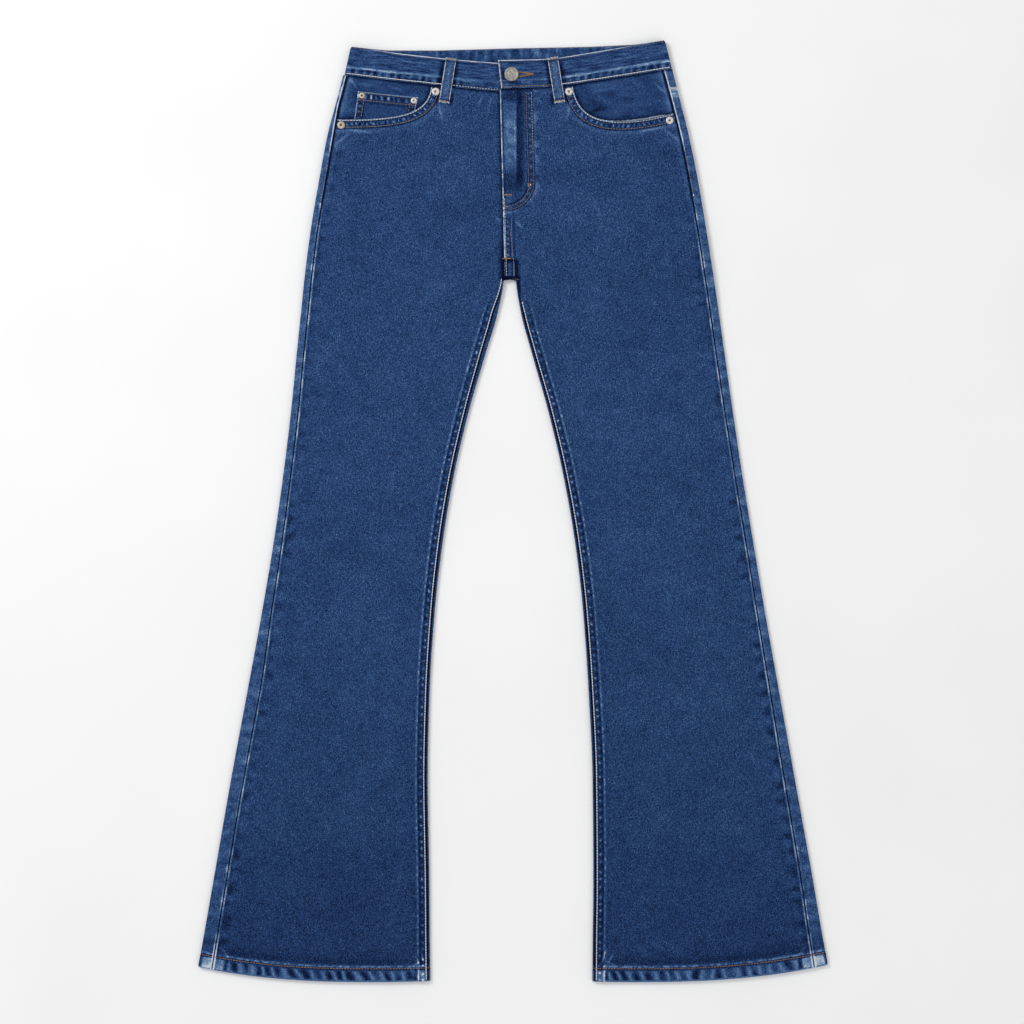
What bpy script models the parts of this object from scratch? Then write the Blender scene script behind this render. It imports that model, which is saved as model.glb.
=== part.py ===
"""Flared five-pocket jeans lying flat on their back, front side up.

Sizes are in millimetres until a mesh is made. X runs towards the wearer's left, Y from hem to waist
and Z up from the surface that the jeans lie on. The origin is under the middle of the garment.

Each leg is a flattened tube. Its back panel lies underneath and wraps round both edges, so that the
outseam and the inseam run on the front, a little way in from the edge. The front panel lies between
the two seams.
"""

import math

import bmesh
import bpy

MM = 0.001

# Cloth and gaps
CLOTH = 1.1
SEAM_GAP = 0.3
HEM_TALL = 16.0
HEM_WALL = 2.0
BAND_WALL = 2.2
POCKET_WALL = 1.3

# Heights over the surface: the legs lie on it, the hips lie on the back pockets
LEG_HEIGHT = 4.6
HIP_HEIGHT = 5.2
HIP_LIFT = POCKET_WALL + SEAM_GAP
RISE_FROM, RISE_TO = 215.0, 290.0
PANEL_TOP = HIP_LIFT + HIP_HEIGHT
BAND_STEP = 0.6
CLOSURE_STEP = 1.4
BAND_TOP = PANEL_TOP + BAND_STEP
CLOSURE_TOP = BAND_TOP + CLOSURE_STEP

# The crotch and the centre lines
CROTCH_Y = 277.0
FRONT_CENTRE = {"crotch": (-10.4, CROTCH_Y), "waist": (-16.4, 503.0)}
BACK_CENTRE_X = -4.5

# Flat outline of the legs and the distance of each seam from its edge, by level. "right" and "left"
# are the wearer's, "out" is the hip side and "in" is the side towards the other leg.
OUTLINE_COLUMNS = (
    "y", "right_out", "right_in", "left_in", "left_out",
    "right_out_seam", "right_in_seam", "left_in_seam", "left_out_seam",
)
OUTLINE = {
    "hem": (-548, -378.0, -99.8, 94.6, 376.8, 16.5, 3.2, 3.2, 16.2),
    "over hem": (-500, -369.5, -100.5, 95.0, 368.2, 16.0, 3.0, 3.0, 15.4),
    "low calf": (-440, -359.1, -101.0, 95.8, 358.3, 15.6, 3.0, 3.0, 14.2),
    "calf": (-320, -338.3, -102.9, 94.8, 337.0, 15.4, 3.0, 3.2, 12.7),
    "shin": (-220, -319.7, -100.8, 90.3, 319.0, 14.6, 3.0, 3.4, 11.0),
    "below knee": (-120, -301.3, -94.4, 83.4, 301.2, 11.6, 3.2, 3.2, 9.6),
    "knee": (-40, -287.9, -85.3, 74.1, 287.8, 10.2, 3.6, 3.2, 9.0),
    "low thigh": (40, -276.5, -72.0, 60.2, 274.7, 9.4, 3.8, 3.2, 9.0),
    "thigh": (120, -266.7, -53.4, 41.5, 262.8, 9.0, 4.2, 3.2, 9.8),
    "high thigh": (190, -259.8, -33.0, 21.6, 252.8, 8.8, 5.4, 3.2, 10.2),
    "under crotch": (240, -254.6, -18.3, 8.4, 245.8, 8.8, 6.0, 3.2, 10.4),
    "crotch": (277, -250.7, -12.2, 3.2, 240.3, 8.8, 6.0, 3.2, 10.5),
    "hip": (340, -242.5, -12.2, 3.2, 230.5, 8.6, 6.0, 3.2, 10.5),
    "high hip": (400, -232.3, -12.2, 3.2, 220.2, 8.6, 6.0, 3.2, 10.5),
    "pocket": (450, -222.9, -12.2, 3.2, 209.9, 7.6, 6.0, 3.2, 10.5),
    "over pocket": (490, -212.3, -12.2, 3.2, 200.0, 4.6, 6.0, 3.2, 10.6),
    "waist seam": (526, -202.6, -12.2, 3.2, 190.6, 4.8, 6.0, 3.2, 11.0),
}

# The hem line dips between the two seams. "low" is how far along from the outseam its lowest point
# lies, and "drop" how far the outseam's end lies above that.
HEM = {
    "right": {"lowest": -565.3, "drop": 14.8, "low": 0.74},
    "left": {"lowest": -565.3, "drop": 17.3, "low": 0.80},
}
HEM_BEND = 2.4
HEM_REACH = 190.0

# Levels of the mesh. The hem's wall changes over one short step, and close to the crotch the edge of
# the back panel curls less and less until it lies flat.
HEM_LEVEL = OUTLINE["hem"][0]
HEM_TOP = HEM_LEVEL + HEM_TALL
HEM_STEP = 0.6
LEG_LEVELS = (
    HEM_LEVEL, HEM_TOP, HEM_TOP + HEM_STEP,
    -500, -460, -400, -350, -300, -260, -220, -180, -140, -100, -60, -20,
    20, 60, 100, 140, 175, 205, 230, 250, 262,
)
CURL_LEVELS = {"small": 269.0, "upright": 274.2, "flat": CROTCH_Y}
SMALL_CURL = {"strip": 2.0, "tall": 3.0}
UPRIGHT_CURL = {"radius": 1.5, "over": 1.0}
FLAT_CURL_LENGTH = 3.0

# Levels of the front panel over the crotch, at the side and at the centre front. The last ones follow
# the pocket opening.
FRONT_LEVELS = ((CROTCH_Y, CROTCH_Y), (292, 292), (320, 318), (360, 354), (400, 388), (435, 418))
OPENING_CENTRE_Y = 440.0
OPENING_STEPS = 9
OPENING_SHARE = 0.985
OVER_POCKET_Y = 486
FRONT_COLUMNS = 7
CENTRE_INSET = 0.6
CENTRE_INSET_LEVELS = (266.0, 276.0)

# The curve of each hip pocket opening: a cubic through its ends, pulled towards the two middle points
OPENING = {
    "right": ((-98.5, 507.0), (-103.0, 478.0), (-125.0, 467.0), (-213.0, 468.0)),
    "left": ((71.0, 507.5), (77.0, 474.0), (98.0, 452.0), (193.0, 475.5)),
}
FACING_UNDERLAP = 10.0

# Waistband stations, round the body from the covered end to the end that shows, by the strip's two
# edges. The end that shows stays raised until it is clear of the covered end.
BAND_COLUMNS = ("face", "bottom_x", "bottom_y", "top_x", "top_y")
BAND = {
    "covered end": ("under", 18.0, 507.2, 18.0, 536.9),
    "under the front end": ("under", -16.6, 506.4, -16.8, 536.2),
    "beside the front end": ("under", -17.6, 501.9, -18.6, 536.2),
    "out of the front end": ("front", -34.0, 503.2, -35.0, 537.2),
    "right loop": ("front", -81.0, 508.4, -78.0, 540.8),
    "right pocket": ("front", -140.0, 514.6, -137.0, 547.4),
    "right side front": ("front", -199.6, 521.6, -192.6, 555.6),
    "right side back": ("back", -199.6, 521.6, -192.6, 555.6),
    "back right": ("back", -156.0, 517.6, -152.0, 551.6),
    "back right loop": ("back", -92.0, 517.4, -90.0, 551.6),
    "centre back": ("back", 4.0, 520.0, 4.0, 554.2),
    "back left loop": ("back", 92.0, 521.6, 92.0, 556.0),
    "back left": ("back", 146.0, 524.6, 144.0, 558.4),
    "left side back": ("back", 187.2, 529.0, 179.0, 563.2),
    "left side front": ("front", 187.2, 529.0, 179.0, 563.2),
    "left pocket": ("front", 128.0, 519.4, 124.0, 553.6),
    "left loop": ("front", 62.0, 509.4, 54.0, 542.0),
    "clear of the covered end": ("front", 37.0, 507.2, 34.0, 540.6),
    "over the covered end": ("over", 22.0, 506.4, 21.0, 540.0),
    "front end": ("over", -14.6, 505.4, -18.4, 539.2),
}
FLY_EDGE_X = -17.2
BAND_OUTER_Z = {
    "under": CLOSURE_TOP - BAND_WALL - SEAM_GAP,
    "front": BAND_TOP,
    "back": HIP_LIFT,
    "over": CLOSURE_TOP,
}
FOLD_STEPS = 6

# The seam between yoke and back panel, from the outseam to the centre back
YOKE_SEAM = {"side_y": {"right": 500.0, "left": 505.0}, "centre_y": 464.0}

# Belt loops by the centre of each end, in plan
LOOP_WIDE = 12.5
LOOP_WALL = 1.3
LOOP_PARTS = (0.0, 0.2, 0.3, 0.36, 0.42, 0.7, 1.0)
LOOP_RAMP = (4.0, 0.5)
FRONT_LOOPS = {
    "right": ((-74.6, 541.6), (-83.2, 488.0)),
    "left": ((46.8, 542.6), (55.6, 488.4)),
}
BACK_LOOPS = {
    "right": ((-92.0, 553.0), (-97.0, 500.0)),
    "centre": ((4.0, 555.5), (4.0, 502.0)),
    "left": ((93.0, 557.5), (98.0, 504.0)),
}

# Patch pockets under the seat, by corner, and the coin pocket on the right facing
BACK_POCKET = {"top_out": 187.0, "top_in": 48.0, "low_out": 176.0, "low_in": 58.0}
BACK_POCKET_Y = {"top_out": 458.0, "top_in": 440.0, "low": 330.0, "tip": 304.0}
COIN_POCKET = {
    "top": ((-186.2, 502.0), (-114.4, 494.8)),
    "low": ((-190.6, 471.6), (-117.8, 480.6)),
}

# Fly: width of the facing to its stitched edge, the bottom of the J, and the zip behind it
FLY_WIDE = 41.0
FLY_BOTTOM_Y = 357.0
FLY_BEND_Y = 398.0
ZIP = {"wide": 20.0, "top_y": 498.0, "low_y": 366.0, "wall": 1.0}

# Metal
BUTTON = {"place": (-2.3, 522.0), "across": 17.2, "tall": 2.6}
RIVET = {"across": 9.3, "tall": 1.7}
COIN_RIVET = {"across": 7.2, "tall": 1.4}
RIVETS = {
    "rivet_right_inner": (-93.2, 501.6),
    "rivet_right_outer": (-206.4, 461.4),
    "rivet_left_inner": (66.5, 501.6),
    "rivet_left_outer": (187.0, 467.0),
}
COIN_RIVETS = {
    "rivet_coin_outer": (-181.6, 496.8),
    "rivet_coin_inner": (-119.4, 490.8),
}
ROUND_SIDES = 24

# Colours are linear, as the shader takes them
DENIM = {"colour": (0.022, 0.054, 0.152), "roughness": 0.9, "metallic": 0.0}
ZIP_TAPE = {"colour": (0.020, 0.030, 0.060), "roughness": 0.8, "metallic": 0.0}
AGED_METAL = {"colour": (0.60, 0.57, 0.53), "roughness": 0.34, "metallic": 1.0}

SIDES = ("right", "left")
OUTWARD = {"right": -1.0, "left": 1.0}


# ---------------------------------------------------------------- curves


def smoothstep(low, high, value):
    """0 below low, 1 above high and a smooth ramp between."""
    part = min(1.0, max(0.0, (value - low) / (high - low)))
    return part * part * (3.0 - 2.0 * part)


def mix(start, end, part):
    return start + (end - start) * part


def mix_points(start, end, part):
    return tuple(mix(a, b, part) for a, b in zip(start, end, strict=True))


def smooth_through(places, values, place):
    """The value at a place on a smooth curve that never overshoots its knots (monotone cubic)."""
    if place <= places[0]:
        return values[0]
    if place >= places[-1]:
        return values[-1]
    last = len(places) - 1
    spans = [places[i + 1] - places[i] for i in range(last)]
    slopes = [(values[i + 1] - values[i]) / spans[i] for i in range(last)]
    tangents = [slopes[0]]
    for before, after in zip(slopes, slopes[1:], strict=False):
        same_way = before * after > 0.0
        tangents.append(2.0 * before * after / (before + after) if same_way else 0.0)
    tangents.append(slopes[-1])
    i = next(i for i in range(last) if place <= places[i + 1])
    t = (place - places[i]) / spans[i]
    return (
        (1 + 2 * t) * (1 - t) ** 2 * values[i]
        + t * (1 - t) ** 2 * spans[i] * tangents[i]
        + t * t * (3 - 2 * t) * values[i + 1]
        + t * t * (t - 1) * spans[i] * tangents[i + 1]
    )


def cubic(control, t):
    """A point on the cubic curve with these four control points."""
    weights = ((1 - t) ** 3, 3 * t * (1 - t) ** 2, 3 * t * t * (1 - t), t**3)
    return tuple(sum(w * p[axis] for w, p in zip(weights, control, strict=True)) for axis in (0, 1))


def outline(name, y):
    """One column of the outline table, read at any height."""
    rows = list(OUTLINE.values())
    column = OUTLINE_COLUMNS.index(name)
    return smooth_through([row[0] for row in rows], [row[column] for row in rows], y)


def back_waist_seam(x):
    """Height of the back waist seam, just under the band."""
    face, knot_x, knot_y = (BAND_COLUMNS.index(name) for name in ("face", "bottom_x", "bottom_y"))
    knots = sorted((row[knot_x], row[knot_y]) for row in BAND.values() if row[face] == "back")
    return smooth_through([knot[0] for knot in knots], [knot[1] for knot in knots], x) - 2 * SEAM_GAP


def waist_seam(side, x):
    """Height of the front waist seam, just under the band that shows on this side of the fly."""
    faces = ("front", "under") if side == "right" else ("front", "over")
    face, knot_x, knot_y = (BAND_COLUMNS.index(name) for name in ("face", "bottom_x", "bottom_y"))
    outward = OUTWARD[side]
    knots = set()
    for row in BAND.values():
        if row[face] in faces and outward * (row[knot_x] - FLY_EDGE_X) > 0:
            knots.add((row[knot_x], row[knot_y]))
    knots = sorted(knots)
    return smooth_through([knot[0] for knot in knots], [knot[1] for knot in knots], x) - SEAM_GAP


def front_centre_x(y):
    low, high = FRONT_CENTRE["crotch"], FRONT_CENTRE["waist"]
    return mix(low[0], high[0], (y - low[1]) / (high[1] - low[1]))


def lift(y):
    """How far the seat's underside stands over the surface."""
    return HIP_LIFT * smoothstep(RISE_FROM, RISE_TO, y)


def height(y):
    """How thick the flattened leg or hip is, back and front together."""
    return mix(LEG_HEIGHT, HIP_HEIGHT, smoothstep(RISE_FROM, RISE_TO, y))


def hem_sag(side, y, along):
    """How far the cloth hangs below its level, along the way from outseam to inseam."""
    hem = HEM[side]
    edge = hem["lowest"] + hem["drop"] * abs((along - hem["low"]) / hem["low"]) ** HEM_BEND
    return (edge - HEM_LEVEL) * (1.0 - smoothstep(HEM_LEVEL, HEM_LEVEL + HEM_REACH, y))


# ---------------------------------------------------------------- meshes


def material(name, finish):
    made = bpy.data.materials.new(name)
    made.use_nodes = True
    shader = made.node_tree.nodes["Principled BSDF"]
    shader.inputs["Base Color"].default_value = (*finish["colour"], 1.0)
    shader.inputs["Roughness"].default_value = finish["roughness"]
    shader.inputs["Metallic"].default_value = finish["metallic"]
    return made


def finish_piece(name, mesh_data, finish, smooth_angle=None):
    """Makes an object of a bmesh in millimetres, with its own material."""
    bmesh.ops.recalc_face_normals(mesh_data, faces=mesh_data.faces)
    bmesh.ops.scale(mesh_data, vec=(MM, MM, MM), verts=mesh_data.verts)
    mesh = bpy.data.meshes.new(name)
    mesh_data.to_mesh(mesh)
    mesh_data.free()
    mesh.materials.append(material(name, finish))
    if smooth_angle is not None:
        mesh.shade_smooth()
        mesh.set_sharp_from_angle(angle=math.radians(smooth_angle))
    piece = bpy.data.objects.new(name, mesh)
    bpy.context.collection.objects.link(piece)
    return piece


def wall(name, outer, inner, finish=DENIM):
    """A wall of cloth between two grids of points with the same rows, closed round its edges."""
    made = bmesh.new()
    grids = [[[made.verts.new(point) for point in row] for row in grid] for grid in (outer, inner)]
    rows, columns = len(outer), len(outer[0])
    for grid in grids:
        for i in range(rows - 1):
            for j in range(columns - 1):
                made.faces.new((grid[i][j], grid[i][j + 1], grid[i + 1][j + 1], grid[i + 1][j]))
    top, low = grids
    for i in range(rows - 1):
        for j in (0, columns - 1):
            made.faces.new((top[i][j], top[i + 1][j], low[i + 1][j], low[i][j]))
    for j in range(columns - 1):
        for i in (0, rows - 1):
            made.faces.new((top[i][j], top[i][j + 1], low[i][j + 1], low[i][j]))
    return finish_piece(name, made, finish, smooth_angle=40)


def plate(name, plan, z_low, z_high, finish=DENIM):
    """A flat wall over a grid of plan points."""
    levels = [[[(x, y, z) for x, y in row] for row in plan] for z in (z_high, z_low)]
    return wall(name, levels[0], levels[1], finish)


def turned(name, place, profile, base_z, finish=AGED_METAL):
    """A round piece: a profile of (radius, height) turned about the upright axis through its place."""
    made = bmesh.new()
    edge = [made.verts.new((radius, 0.0, tall)) for radius, tall in profile]
    lines = [made.edges.new(pair) for pair in zip(edge, edge[1:], strict=False)]
    bmesh.ops.spin(
        made,
        geom=edge + lines,
        cent=(0, 0, 0),
        axis=(0, 0, 1),
        angle=math.tau,
        steps=ROUND_SIDES,
        use_merge=True,
    )
    bmesh.ops.remove_doubles(made, verts=made.verts, dist=0.01)
    bmesh.ops.translate(made, vec=(place[0], place[1], base_z), verts=made.verts)
    return finish_piece(name, made, finish, smooth_angle=35)


# ---------------------------------------------------------------- front panels


def front_rows(side):
    """Both ends of each row of the front panel, from hem to waist: (outseam side, inner side)."""
    outward = OUTWARD[side]
    rows = []

    def seam(y):
        return outline(side + "_out", y) - outward * (outline(side + "_out_seam", y) + SEAM_GAP)

    for y in (*LEG_LEVELS, CURL_LEVELS["small"], CURL_LEVELS["upright"]):
        seam_inset = outline(side + "_in_seam", y) + SEAM_GAP
        inset = mix(seam_inset, CENTRE_INSET, smoothstep(*CENTRE_INSET_LEVELS, y))
        rows.append(((seam(y), y), (outline(side + "_in", y) + outward * inset, y)))

    def centre(y):
        return front_centre_x(y) + outward * SEAM_GAP / 2

    opening = OPENING[side]
    low_y = cubic(opening, 1.0)[1] - SEAM_GAP
    for y, centre_y in (*FRONT_LEVELS, (low_y, OPENING_CENTRE_Y)):
        rows.append(((seam(y), y), (centre(centre_y), centre_y)))
    top_y = waist_seam(side, FRONT_CENTRE["waist"][0] + outward)
    for step in range(1, OPENING_STEPS + 1):
        part = step / OPENING_STEPS
        x, y = cubic(opening, 1.0 - part * OPENING_SHARE)
        y = min(y, waist_seam(side, x))
        centre_y = mix(OPENING_CENTRE_Y, top_y, part)
        if step == OPENING_STEPS:
            y = waist_seam(side, x)
        rows.append(((x, y), (centre(centre_y), centre_y)))
    return rows


def front_panel(side):
    top, low = [], []
    rows = front_rows(side)
    for number, (outer_end, inner_end) in enumerate(rows):
        in_hem = number < 2
        is_waist = number == len(rows) - 1
        top_row, low_row = [], []
        for column in range(FRONT_COLUMNS + 1):
            along = column / FRONT_COLUMNS
            x, y = mix_points(outer_end, inner_end, along)
            if is_waist:
                y = waist_seam(side, x)
            sagged = y + hem_sag(side, y, along)
            z = lift(y) + height(y)
            top_row.append((x, sagged, z))
            low_row.append((x, sagged, z - (HEM_WALL if in_hem else CLOTH)))
        top.append(top_row)
        low.append(low_row)
    return wall(f"front_{side}", top, low)


# ---------------------------------------------------------------- back panels and yokes

RIM_STEPS = 4
FLAT_STEPS = 7


def rim(edge_x, outward, strip, tall, cloth):
    """The edge of a back piece that wraps over to the front: (outer, inner) points as (x, z), from the
    seam round to the underside."""
    radius = tall / 2
    centre = edge_x - outward * radius
    seam_x = edge_x - outward * strip
    outer, inner = [(seam_x, tall)], [(seam_x, tall - cloth)]
    for step in range(RIM_STEPS + 1):
        turn = math.pi * step / RIM_STEPS
        outer.append((centre + outward * radius * math.sin(turn), radius + radius * math.cos(turn)))
        small = radius - cloth
        inner.append((centre + outward * small * math.sin(turn), radius + small * math.cos(turn)))
    return outer, inner


def flat_rim(edge_x, outward, length, cloth):
    """The same count of points along a plain flat edge."""
    outer, inner = [], []
    for step in range(RIM_STEPS + 2):
        x = edge_x - outward * length * step / (RIM_STEPS + 1)
        outer.append((x, 0.0))
        inner.append((x, cloth))
    return outer, inner


def upright_rim(edge_x, outward, radius, cloth):
    """The same count of points on an edge that curls a quarter turn up."""
    centre = edge_x - outward * radius
    top = radius + UPRIGHT_CURL["over"]
    outer, inner = [(edge_x, top)], [(edge_x - outward * cloth, top)]
    for step in range(RIM_STEPS + 1):
        turn = math.pi / 2 + math.pi / 2 * step / RIM_STEPS
        outer.append((centre + outward * radius * math.sin(turn), radius + radius * math.cos(turn)))
        small = radius - cloth
        inner.append((centre + outward * small * math.sin(turn), radius + small * math.cos(turn)))
    return outer, inner


def back_row(hip_rim, centre_rim):
    """One section of a back piece, from the outseam under the leg to the other edge."""
    chains = []
    for hip, centre in zip(hip_rim, centre_rim, strict=True):
        chain = list(hip)
        for step in range(1, FLAT_STEPS):
            chain.append(mix_points(hip[-1], centre[-1], step / FLAT_STEPS))
        chain += reversed(centre)
        chains.append(chain)
    return tuple(chains)


def back_panel(side):
    outward = OUTWARD[side]
    outer_rows, inner_rows = [], []

    def add(row, y_of, base_z):
        for chain, rows in ((row[0], outer_rows), (row[1], inner_rows)):
            rows.append([(x, y_of(x, z), z + base_z) for x, z in chain])

    for number, y in enumerate(LEG_LEVELS):
        cloth = HEM_WALL if number < 2 else CLOTH
        out_x, in_x = outline(side + "_out", y), outline(side + "_in", y)
        hip = rim(out_x, outward, outline(side + "_out_seam", y), height(y), cloth)
        inseam = rim(in_x, -outward, outline(side + "_in_seam", y), height(y), cloth)
        hem_from = out_x - outward * outline(side + "_out_seam", y)
        hem_to = in_x + outward * outline(side + "_in_seam", y)

        def sagged(x, _, y=y, start=hem_from, end=hem_to):
            along = min(1.0, max(0.0, (x - start) / (end - start)))
            return y + hem_sag(side, y, along)

        add(back_row(hip, inseam), sagged, lift(y))
    for curl, y in CURL_LEVELS.items():
        in_x = outline(side + "_in", y)
        out_x, strip = outline(side + "_out", y), outline(side + "_out_seam", y)
        hip = rim(out_x, outward, strip, height(y), CLOTH)
        if curl == "small":
            edge = rim(in_x, -outward, SMALL_CURL["strip"], SMALL_CURL["tall"], CLOTH)
        elif curl == "upright":
            edge = upright_rim(in_x, -outward, UPRIGHT_CURL["radius"], CLOTH)
        else:
            seam_x = BACK_CENTRE_X + outward * SEAM_GAP / 2
            edge = flat_rim(seam_x, -outward, FLAT_CURL_LENGTH, CLOTH)
        add(back_row(hip, edge), lambda *_, y=y: y, lift(y))
    pocket_y = OPENING[side][-1][1] - SEAM_GAP
    yoke_y = YOKE_SEAM["side_y"][side] - SEAM_GAP
    side_levels = [side_y for side_y, _ in FRONT_LEVELS[1:]]
    seat_levels = (*side_levels, pocket_y, OVER_POCKET_Y, yoke_y)
    for y in seat_levels:
        part = (y - CROTCH_Y) / (seat_levels[-1] - CROTCH_Y)
        centre_y = mix(CROTCH_Y, YOKE_SEAM["centre_y"] - SEAM_GAP, part)
        add(*seat_row(side, y, centre_y), lift(y))
    return wall(f"back_{side}", outer_rows, inner_rows)


def seat_row(side, side_y, centre_y):
    """A section across the seat: its points, and a function for how far up it lies. Underneath it
    slopes from the side to the centre back."""
    outward = OUTWARD[side]
    out_x = outline(side + "_out", side_y)
    hip = rim(out_x, outward, outline(side + "_out_seam", side_y), HIP_HEIGHT, CLOTH)
    centre = flat_rim(BACK_CENTRE_X + outward * SEAM_GAP / 2, -outward, FLAT_CURL_LENGTH, CLOTH)
    flat_from = out_x - outward * HIP_HEIGHT / 2
    flat_to = BACK_CENTRE_X

    def y_at(x, z):
        part = min(1.0, max(0.0, (x - flat_from) / (flat_to - flat_from)))
        return side_y if z > HIP_HEIGHT / 2 else mix(side_y, centre_y, part)

    return back_row(hip, centre), y_at


def yoke(side):
    side_low = YOKE_SEAM["side_y"][side] + SEAM_GAP
    side_top = BAND[f"{side} side front"][BAND_COLUMNS.index("bottom_y")] - 5 * SEAM_GAP
    centre_low = YOKE_SEAM["centre_y"] + SEAM_GAP
    seam_height = seat_row(side, side_low, centre_low)[1]
    outer_rows, inner_rows = [], []
    for part in (0.0, 0.5, 1.0):
        row, _ = seat_row(side, mix(side_low, side_top, part), centre_low)
        for chain, rows in zip(row, (outer_rows, inner_rows), strict=True):
            points = []
            for x, z in chain:
                underneath = z < HIP_HEIGHT / 2
                top = back_waist_seam(x) if underneath else waist_seam(side, x)
                points.append((x, mix(seam_height(x, z), top, part), z + HIP_LIFT))
            rows.append(points)
    return wall(f"yoke_{side}", outer_rows, inner_rows)


# ---------------------------------------------------------------- waistband


def band_sections():
    """Sections of the band, following the strip round: (outer bottom, outer top, inner bottom, inner
    top)."""
    stations = [dict(zip(BAND_COLUMNS, row, strict=True)) for row in BAND.values()]
    sections = []
    for before, station in zip([None, *stations], stations, strict=False):
        turning = before is not None and {before["face"], station["face"]} == {"front", "back"}
        if turning:
            sections += band_fold(before, station)
        sections.append(band_section(station, BAND_OUTER_Z[station["face"]]))
    return sections


def band_section(station, outer_z):
    inner_z = outer_z + BAND_WALL if station["face"] == "back" else outer_z - BAND_WALL
    points = []
    for z in (outer_z, inner_z):
        for edge in ("bottom", "top"):
            points.append((station[edge + "_x"], station[edge + "_y"], z))
    return tuple(points)


def band_fold(before, after):
    """Sections round the side of the body, where the strip turns from one face to the other."""
    outward = 1.0 if before["bottom_x"] > 0 else -1.0
    start = BAND_OUTER_Z[before["face"]]
    end = BAND_OUTER_Z[after["face"]]
    middle, radius = (start + end) / 2, (BAND_TOP - HIP_LIFT) / 2
    way = 1.0 if start > end else -1.0
    sections = []
    for step in range(1, FOLD_STEPS):
        turn = math.pi * step / FOLD_STEPS
        points = []
        for reach in (radius, radius - BAND_WALL):
            for edge in ("bottom", "top"):
                x = before[edge + "_x"] + outward * reach * math.sin(turn)
                points.append((x, before[edge + "_y"], middle + way * reach * math.cos(turn)))
        sections.append(tuple(points))
    return sections


def waistband():
    made = bmesh.new()
    loops = []
    for outer_low, outer_top, inner_low, inner_top in band_sections():
        corners = (outer_low, outer_top, inner_top, inner_low)
        loops.append([made.verts.new(corner) for corner in corners])
    for first, second in zip(loops, loops[1:], strict=False):
        for k in range(4):
            made.faces.new((first[k], first[(k + 1) % 4], second[(k + 1) % 4], second[k]))
    made.faces.new(loops[0])
    made.faces.new(loops[-1])
    return finish_piece("waistband", made, DENIM, smooth_angle=40)


# ---------------------------------------------------------------- what lies on and in the panels


def across(centre, half, toward):
    """Two points either side of a centre, square to the way towards another point."""
    dx, dy = toward[0] - centre[0], toward[1] - centre[1]
    length = math.hypot(dx, dy)
    nx, ny = -dy / length * half, dx / length * half
    return (centre[0] - nx, centre[1] - ny), (centre[0] + nx, centre[1] + ny)


def belt_loop(name, ends, low_z, band_z=None, band_y=None):
    """A flat strip from one end to the other, stepping up where it crosses onto the band."""
    top_end, low_end = ends
    outer, inner = [], []
    for part in LOOP_PARTS:
        centre = mix_points(low_end, top_end, part)
        toward = mix_points(low_end, top_end, part + 1.0)
        z = low_z
        if band_z is not None:
            ramp = smoothstep(band_y - LOOP_RAMP[0], band_y - LOOP_RAMP[1], centre[1])
            z = mix(low_z, band_z, ramp)
        left, right = across(centre, LOOP_WIDE / 2, toward)
        middle = mix_points(left, right, 0.5)
        outer.append([(x, y, z + LOOP_WALL) for x, y in (left, middle, right)])
        inner.append([(x, y, z) for x, y in (left, middle, right)])
    return wall(name, outer, inner)


def belt_loops():
    for side, ends in FRONT_LOOPS.items():
        band_y = waist_seam(side, ends[1][0]) - 2 * SEAM_GAP
        belt_loop(f"loop_front_{side}", ends, PANEL_TOP + SEAM_GAP, BAND_TOP + SEAM_GAP, band_y)
    for place, ends in BACK_LOOPS.items():
        belt_loop(f"loop_back_{place}", ends, 0.0)


def back_pocket(side):
    """A five-sided patch, with its point at the bottom."""
    outward = OUTWARD[side]
    size, y = BACK_POCKET, BACK_POCKET_Y
    shift = BACK_CENTRE_X
    plan = []
    for part in (0.0, 0.1, 0.5, 1.0):
        row = []
        for column in range(5):
            along = column / 4
            out_x = mix(size["top_out"], size["low_out"], part)
            in_x = mix(size["top_in"], size["low_in"], part)
            top_y = mix(y["top_out"], y["top_in"], along)
            low_y = mix(y["low"], y["tip"], 1.0 - abs(2.0 * along - 1.0))
            row.append((shift + outward * mix(out_x, in_x, along), mix(top_y, low_y, part)))
        plan.append(row)
    return plate(f"back_pocket_{side}", plan, 0.0, POCKET_WALL)


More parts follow.
